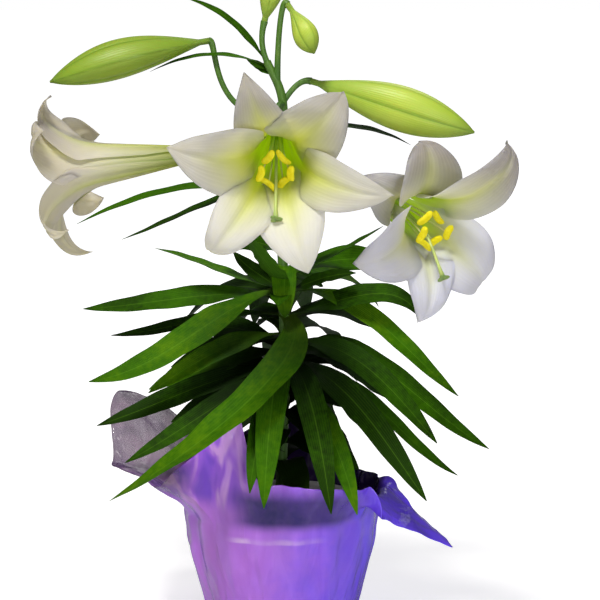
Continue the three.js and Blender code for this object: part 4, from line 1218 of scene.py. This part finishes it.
def filmMaterial():
    material, tree = startMaterial("filmPurple")
    where = place(tree)
    east, north, up = spotOf(tree)
    side, folded = marksOf(tree, "side", "folded")
    patch = {label: times(window(up, *high), window(east, *wide))
             for label, (high, wide) in filmPatches.items()}
    front = compute("LESS_THAN", north, 0.0)
    # Painted shade on the film's inner side inside the plant, except where it is folded out.
    free, shadeWithin = times(patch["free"], front), times(patch["shadeWithin"], minus(1.0, folded), side)
    blotch = blotches(tree, *filmLook["blotches"])
    patchy = remap(blotches(tree, *filmLook["patches"]), *filmLook["patchRange"])
    slant = addNode(tree, "ShaderNodeLayerWeight", {"Blend": 0.5}).outputs["Facing"]
    slant = compute("POWER", slant, 2.5)
    lengthways = stretch(where, 0.25)
    crinkle = noise(lengthways, *filmLook["crinkles"])
    streaks = ramp(noise(stretch(where, 0.3, 0.9), *filmLook["streakNoise"]), *filmLook["streaks"])
    # Painted shade on the back-left corner: dark grey-brown to grey in place of the purple.
    lobeTone = ramp(patchy, (0.1, filmLook["lobeDark"]), (0.8, filmLook["lobe"]))
    tone = timesPlus(minus(blotch, 0.5), 0.9, remap(east, *filmLook["westToEast"]))
    colour = cover(ramp(tone, *filmLook["tones"]), (filmLook["crinkle"], crinkle, 0.22),
                   # Painted highlight streaks and painted shade on the front-left corner.
                   (streaks, times(patch["corner"], front), 0.75),
                   # Painted highlight along the pot's rim.
                   (filmLook["lip"], patch["lip"], timesPlus(patchy, 0.6, 0.2)),
                   (filmLook["shaded"], free, timesPlus(patchy, 0.12, 0.88)),
                   (filmLook["folded"], folded, 0.8), (filmLook["edge"], slant, 0.8),
                   (lobeTone, patch["lobe"], 0.86), (filmLook["shadeWithin"], shadeWithin, 0.92))
    solid = remap(crinkle, *filmLook["solid"])
    for mask, more in ((free, 0.18), (folded, 0.2), (shadeWithin, 0.3), (slant, 0.55), (patch["lobe"], -0.22)):
        solid = timesPlus(mask, more, solid)
    buckled = compute("ABSOLUTE", minus(noise(lengthways, *filmLook["buckles"]), 0.5))
    relief = timesPlus(buckled, -3.0, times(crinkle, 0.5))
    rough = remap(blotch, *filmLook["roughness"])
    return finishMaterial(material, colour, relief, 0.005, rough=rough, shine=0.14,
                          Alpha=compute("MINIMUM", solid, 1.0), Coat_Weight=timesPlus(slant, -0.8, 0.75))


def potMaterial():
    material, tree = startMaterial("potPlastic")
    blotch, lowBrown = blotches(tree, 70.0, 0.5), blotches(tree, 55.0, 0.6)
    colour = blend(blotch, tint(236, 234, 232), tint(214, 210, 206))
    # Brown blotches, from none at 112 mm high to half strength at 100 mm and below: darker towards the
    # bottom.
    colour = cover(colour, (tint(120, 100, 84), lowBrown, remap(spotOf(tree)[2], 112.0, 100.0, 0.0, 0.5)))
    return finishMaterial(material, colour, blotch, 0.0001, rough=0.42, shine=0.45)


def mixMaterial(name, scale, depth, *tones):
    tones = zip((0.3, 0.52, 0.75), tones)
    return plainMaterial(name, (scale, 0.6), "blotch", tones, finish=(depth, 0.95, 0.2))


filmPurple, potPlastic = filmMaterial(), potMaterial()
bulbScales = plainMaterial(
    "bulbScales", (80.0, 0.4), "along", finish=(0.0004, 0.6, 0.4),
    tones=[(0.0, (176, 142, 92)), (0.3, (226, 208, 160)), (1.0, (206, 198, 128))],
    layers=[("blotch", 0.4, (150, 110, 66))])
pottingMix = mixMaterial("pottingMix", 160.0, 0.0012, (14, 10, 8), (38, 27, 20), (78, 58, 42))
barkBrown = mixMaterial("barkBrown", 240.0, 0.0006, (22, 14, 10), (58, 38, 26), (104, 74, 50))
perliteWhite = mixMaterial("perliteWhite", 300.0, 0.0004, (186, 182, 174), (222, 220, 214), (244, 243, 240))
settle(makeFilm(), "film", "film_cover")
print("film made")


# A plain pot with a rounded lip and drain holes.
def makePot():
    lean = (pot["rim"] - pot["base"]) / pot["height"]
    outer = lambda z: pot["base"] + lean * z
    height, wall, floor = pot["height"], pot["wall"], pot["floor"]
    lipFoot, lip = height - pot["lipDepth"], pot["rim"] + pot["lipOut"]
    profile = [(12, 0), (pot["base"] - 1.2, 0), (pot["base"] - 0.3, 0.4), (outer(1.4), 1.4)]
    profile += [(outer(z), z) for z in np.linspace(8, lipFoot - 0.6, 12)]
    profile += [(lip - 0.8, lipFoot), (lip - 0.1, lipFoot + 0.7), (lip, lipFoot + 2), (lip, height - 1.2),
                (lip - 0.4, height - 0.3), (lip - 1.2, height), (pot["rim"] - wall + 0.9, height),
                (pot["rim"] - wall + 0.1, height - 0.7)]
    profile += [(outer(z) - wall, z) for z in np.linspace(height - 4, floor + 2, 14)]
    profile += [(outer(floor) - wall - 1.0, floor + 0.5), (outer(floor) - wall - 2.4, floor), (12, floor)]
    body = makeLoft("potBody", turnedRings(profile, pot["sides"]) + [0, 0, potFoot], potPlastic)
    cutters = newShape()
    for turn in circleAngles(pot["drainCount"]):
        at = [pot["drainCircle"] * math.cos(turn), pot["drainCircle"] * math.sin(turn), 0]
        addLoft(cutters, turnedRings([(pot["drainRadius"], -3), (pot["drainRadius"], 8)], 32) + at)
    cutter = makePiece("drainCutter", cutters, potPlastic)
    cut = body.modifiers.new("drains", "BOOLEAN")
    cut.object, cut.operation, cut.solver = cutter, "DIFFERENCE", "EXACT"
    made = applyModifiers(body, "nurseryPot")
    bpy.data.objects.remove(cutter)
    return made


bulb = {
    "radius": 23, "height": 38, "floor": 22, "scaleRows": 4, "scalesRound": 9, "relief": 1.6, "rows": 56,
    "sides": 108,
}
soil = {
    "top": 102, "mound": 5, "room": 0.4, "shoulder": 0.6, "sides": 180, "lumps": 1.6,
    "waves": [(0.11, 0.07, 0.3), (-0.06, 0.13, 1.9), (0.21, -0.17, 4.1), (0.34, 0.29, 2.2),
              (-0.41, 0.33, 0.8), (0.55, -0.47, 5.0)],
}


def bulbRadiusAt(share):
    return bulb["radius"] * np.sin(math.pi * (0.1 + 0.8 * share) ** 0.85) ** 0.6


def makeBulb():
    share, angle = np.linspace(0, 1, bulb["rows"])[:, None], circleAngles(bulb["sides"])[None]
    row = np.floor(np.minimum(share, 0.999) * bulb["scaleRows"])
    upRow = share * bulb["scaleRows"] - row
    across = np.abs(np.sin(bulb["scalesRound"] * angle / 2 + (row % 2) * math.pi / 2))
    radius = bulbRadiusAt(share) - bulb["relief"] * (1 - across ** 0.6 * (1 - 0.7 * upRow ** 2))
    height = np.broadcast_to(potFoot + bulb["floor"] + share * bulb["height"], radius.shape)
    rings = np.stack([radius * np.cos(angle), radius * np.sin(angle), height], -1)
    return makeLoft("bulb", rings, bulbScales, along=np.broadcast_to(share, radius.shape))


def soilBumps(rings):
    x, y = rings[..., 0], rings[..., 1]
    lumps = sum(np.sin(a * x + b * y + c) / (1 + 3 * abs(a)) for a, b, c in soil["waves"]) / 3
    return soil["lumps"] * lumps


# How high the soil stands at each radius: domed, from the stem to its edge at the pot's wall.
def soilRise(radii, first, edge):
    top, mound = soil["top"], soil["mound"]
    knots = [first, soil["shoulder"] * edge[0], edge[1]]
    return [(r, np.interp(r, knots, [top + mound, top + 0.6 * mound, top])) for r in radii]


# Fills the pot below its rim, with a pocket round the bulb and a hole for the stem.
def makeSoil():
    innerAt = lambda z: mix(pot["base"], pot["rim"], z / pot["height"]) - pot["wall"] - 0.3 - soil["room"]
    low, top = pot["floor"] + 0.3, soil["top"]
    hole = stem["footRadius"] + 0.9
    edge = innerAt(top)
    bulbFoot, bulbTall = bulb["floor"] - 0.3, bulb["height"] + 0.6
    profile = [(0.4, low), (innerAt(low) - 3, low)]
    profile += [(innerAt(z), z) for z in np.linspace(low + 0.6, top - 1, 10)]
    profile += soilRise(np.linspace(edge - 0.2, hole, 52), hole, (edge, edge))
    profile += [(hole, bulb["floor"] + bulb["height"] + 0.6)]
    profile += [(max(float(bulbRadiusAt(share)) + 0.6, hole), bulbFoot + share * bulbTall)
                for share in np.linspace(1, 0, 14)]
    profile += [(0.4, bulbFoot)]
    rings = turnedRings(profile, soil["sides"])
    fromCentre = np.hypot(rings[..., 0], rings[..., 1])
    onTop = ease(fromCentre, hole + 0.5, hole + 6) * (1 - ease(fromCentre, edge - 5, edge))
    rings[..., 2] += soilBumps(rings) * (rings[..., 2] > top - 0.5) * onTop
    return makeLoft("soil", rings + [0, 0, potFoot], pottingMix)


# The part of the soil's surface that crumbs lie on.
def soilSurface():
    sides, rows = 60, 16
    edge = mix(pot["base"], pot["rim"], soil["top"] / pot["height"]) - pot["wall"] - 3.5
    radii = np.linspace(stem["footRadius"] + 3.5, edge, rows)
    shape = newShape()
    rings = turnedRings(soilRise(radii, 0, (edge, edge + 3)), sides)
    rings[..., 2] += soilBumps(rings) + potFoot
    first = addPoints(shape, rings)
    shape["faces"] += [face[::-1] for face in gridFaces(rows, sides, True, first)]
    return makeMesh("soilSurface", shape)


settle(makePot(), "pot_plastic", "nursery_pot")
settle(makeBulb(), "bulb", "bulb")
settle(makeSoil(), "soil", "soil")
crumbs = {"Spacing": 0.0028, "Density": 4e5, "Smallest": 0.0006, "Largest": 0.0022, "Lumps": 0.5, "Seed": 5}
perlite = {"Spacing": 0.008, "Density": 9e3, "Smallest": 0.0007, "Largest": 0.0019, "Lumps": 0.5, "Seed": 11}
for name, values, material in (("barkCrumbs", crumbs, barkBrown), ("perliteGrains", perlite, perliteWhite)):
    settle(grow(name, soilSurface(), grains, {**values, "Material": material}), "soil", "soil")
print("pot made")

stage = {
    "floorRadius": 30.0, "floorRings": 60, "floorSides": 64, "skyLight": 0.18, "skySeen": 1.0,
    "skyTint": (0.93, 0.91, 1.0, 1.0), "white": (1.0, 1.0, 1.0, 1.0), "lookAt": (0, 0, 0.3),
    "glow": (0.4, 1.6, 0.6, 0.95),  # near and far, and how bright the floor looks there
}
lamps = [
    {"name": "keyLight", "stand": (-0.5, -1.2, 2.4), "power": 50, "size": 0.6, "tint": (1.0, 0.975, 0.92)},
    {"name": "fillLight", "stand": (0.6, -2.2, 0.5), "power": 18, "size": 1.0, "tint": (0.95, 0.94, 1.0)},
    {"name": "backLight", "stand": (0.4, 1.5, 1.6), "power": 5, "size": 1.0, "tint": (1.0, 1.0, 1.0)},
]


# Pale floor. The camera sees it brighter than it lights the plant, most of all far off.
def floorMaterial():
    material, tree = startMaterial("floorPale")
    colour = blend(blotches(tree, 0.6, 0.2), tint(238, 238, 238), tint(234, 234, 234))
    seen = addNode(tree, "ShaderNodeLightPath").outputs["Is Camera Ray"]
    glow = remap(computeVector("LENGTH", place(tree)), *stage["glow"])
    return finishMaterial(material, colour, rough=0.9, shine=0.1, Emission_Color=stage["white"],
                          Emission_Strength=times(seen, glow))


def makeFloor():
    reach = np.linspace(0.01, 1, stage["floorRings"]) ** 2.5 * stage["floorRadius"] * 1000
    sides = stage["floorSides"]
    shape = newShape()
    first = addPoints(shape, turnedRings([(r, 0) for r in reach], sides))
    shape["faces"] += [face[::-1] for face in gridFaces(len(reach), sides, True, first)]
    shape["faces"].append(tuple(range(sides)))
    mesh = makeMesh("floor", shape)
    mesh.materials.append(floorMaterial())
    addObject("floor", mesh)


def makeLights():
    for lamp in lamps:
        data = bpy.data.lights.new(lamp["name"], "AREA")
        data.energy, data.size, data.shape, data.color = lamp["power"], lamp["size"], "DISK", lamp["tint"]
        light = addObject(lamp["name"], data)
        light.location = lamp["stand"]
        aimAt(light, stage["lookAt"])
    world = bpy.data.worlds.new("studio")
    world.use_nodes = True
    tree = world.node_tree
    seen = addNode(tree, "ShaderNodeLightPath").outputs["Is Camera Ray"]
    strength = joinNode("ShaderNodeMix", {0: seen, 2: stage["skyLight"], 3: stage["skySeen"]})
    tree.links.new(strength, tree.nodes["Background"].inputs["Strength"])
    tree.links.new(blend(seen, stage["skyTint"], stage["white"]), tree.nodes["Background"].inputs["Color"])
    bpy.context.scene.world = world
    bpy.context.scene.view_settings.view_transform = "Standard"


makeFloor()
makeLights()
print("stage made")
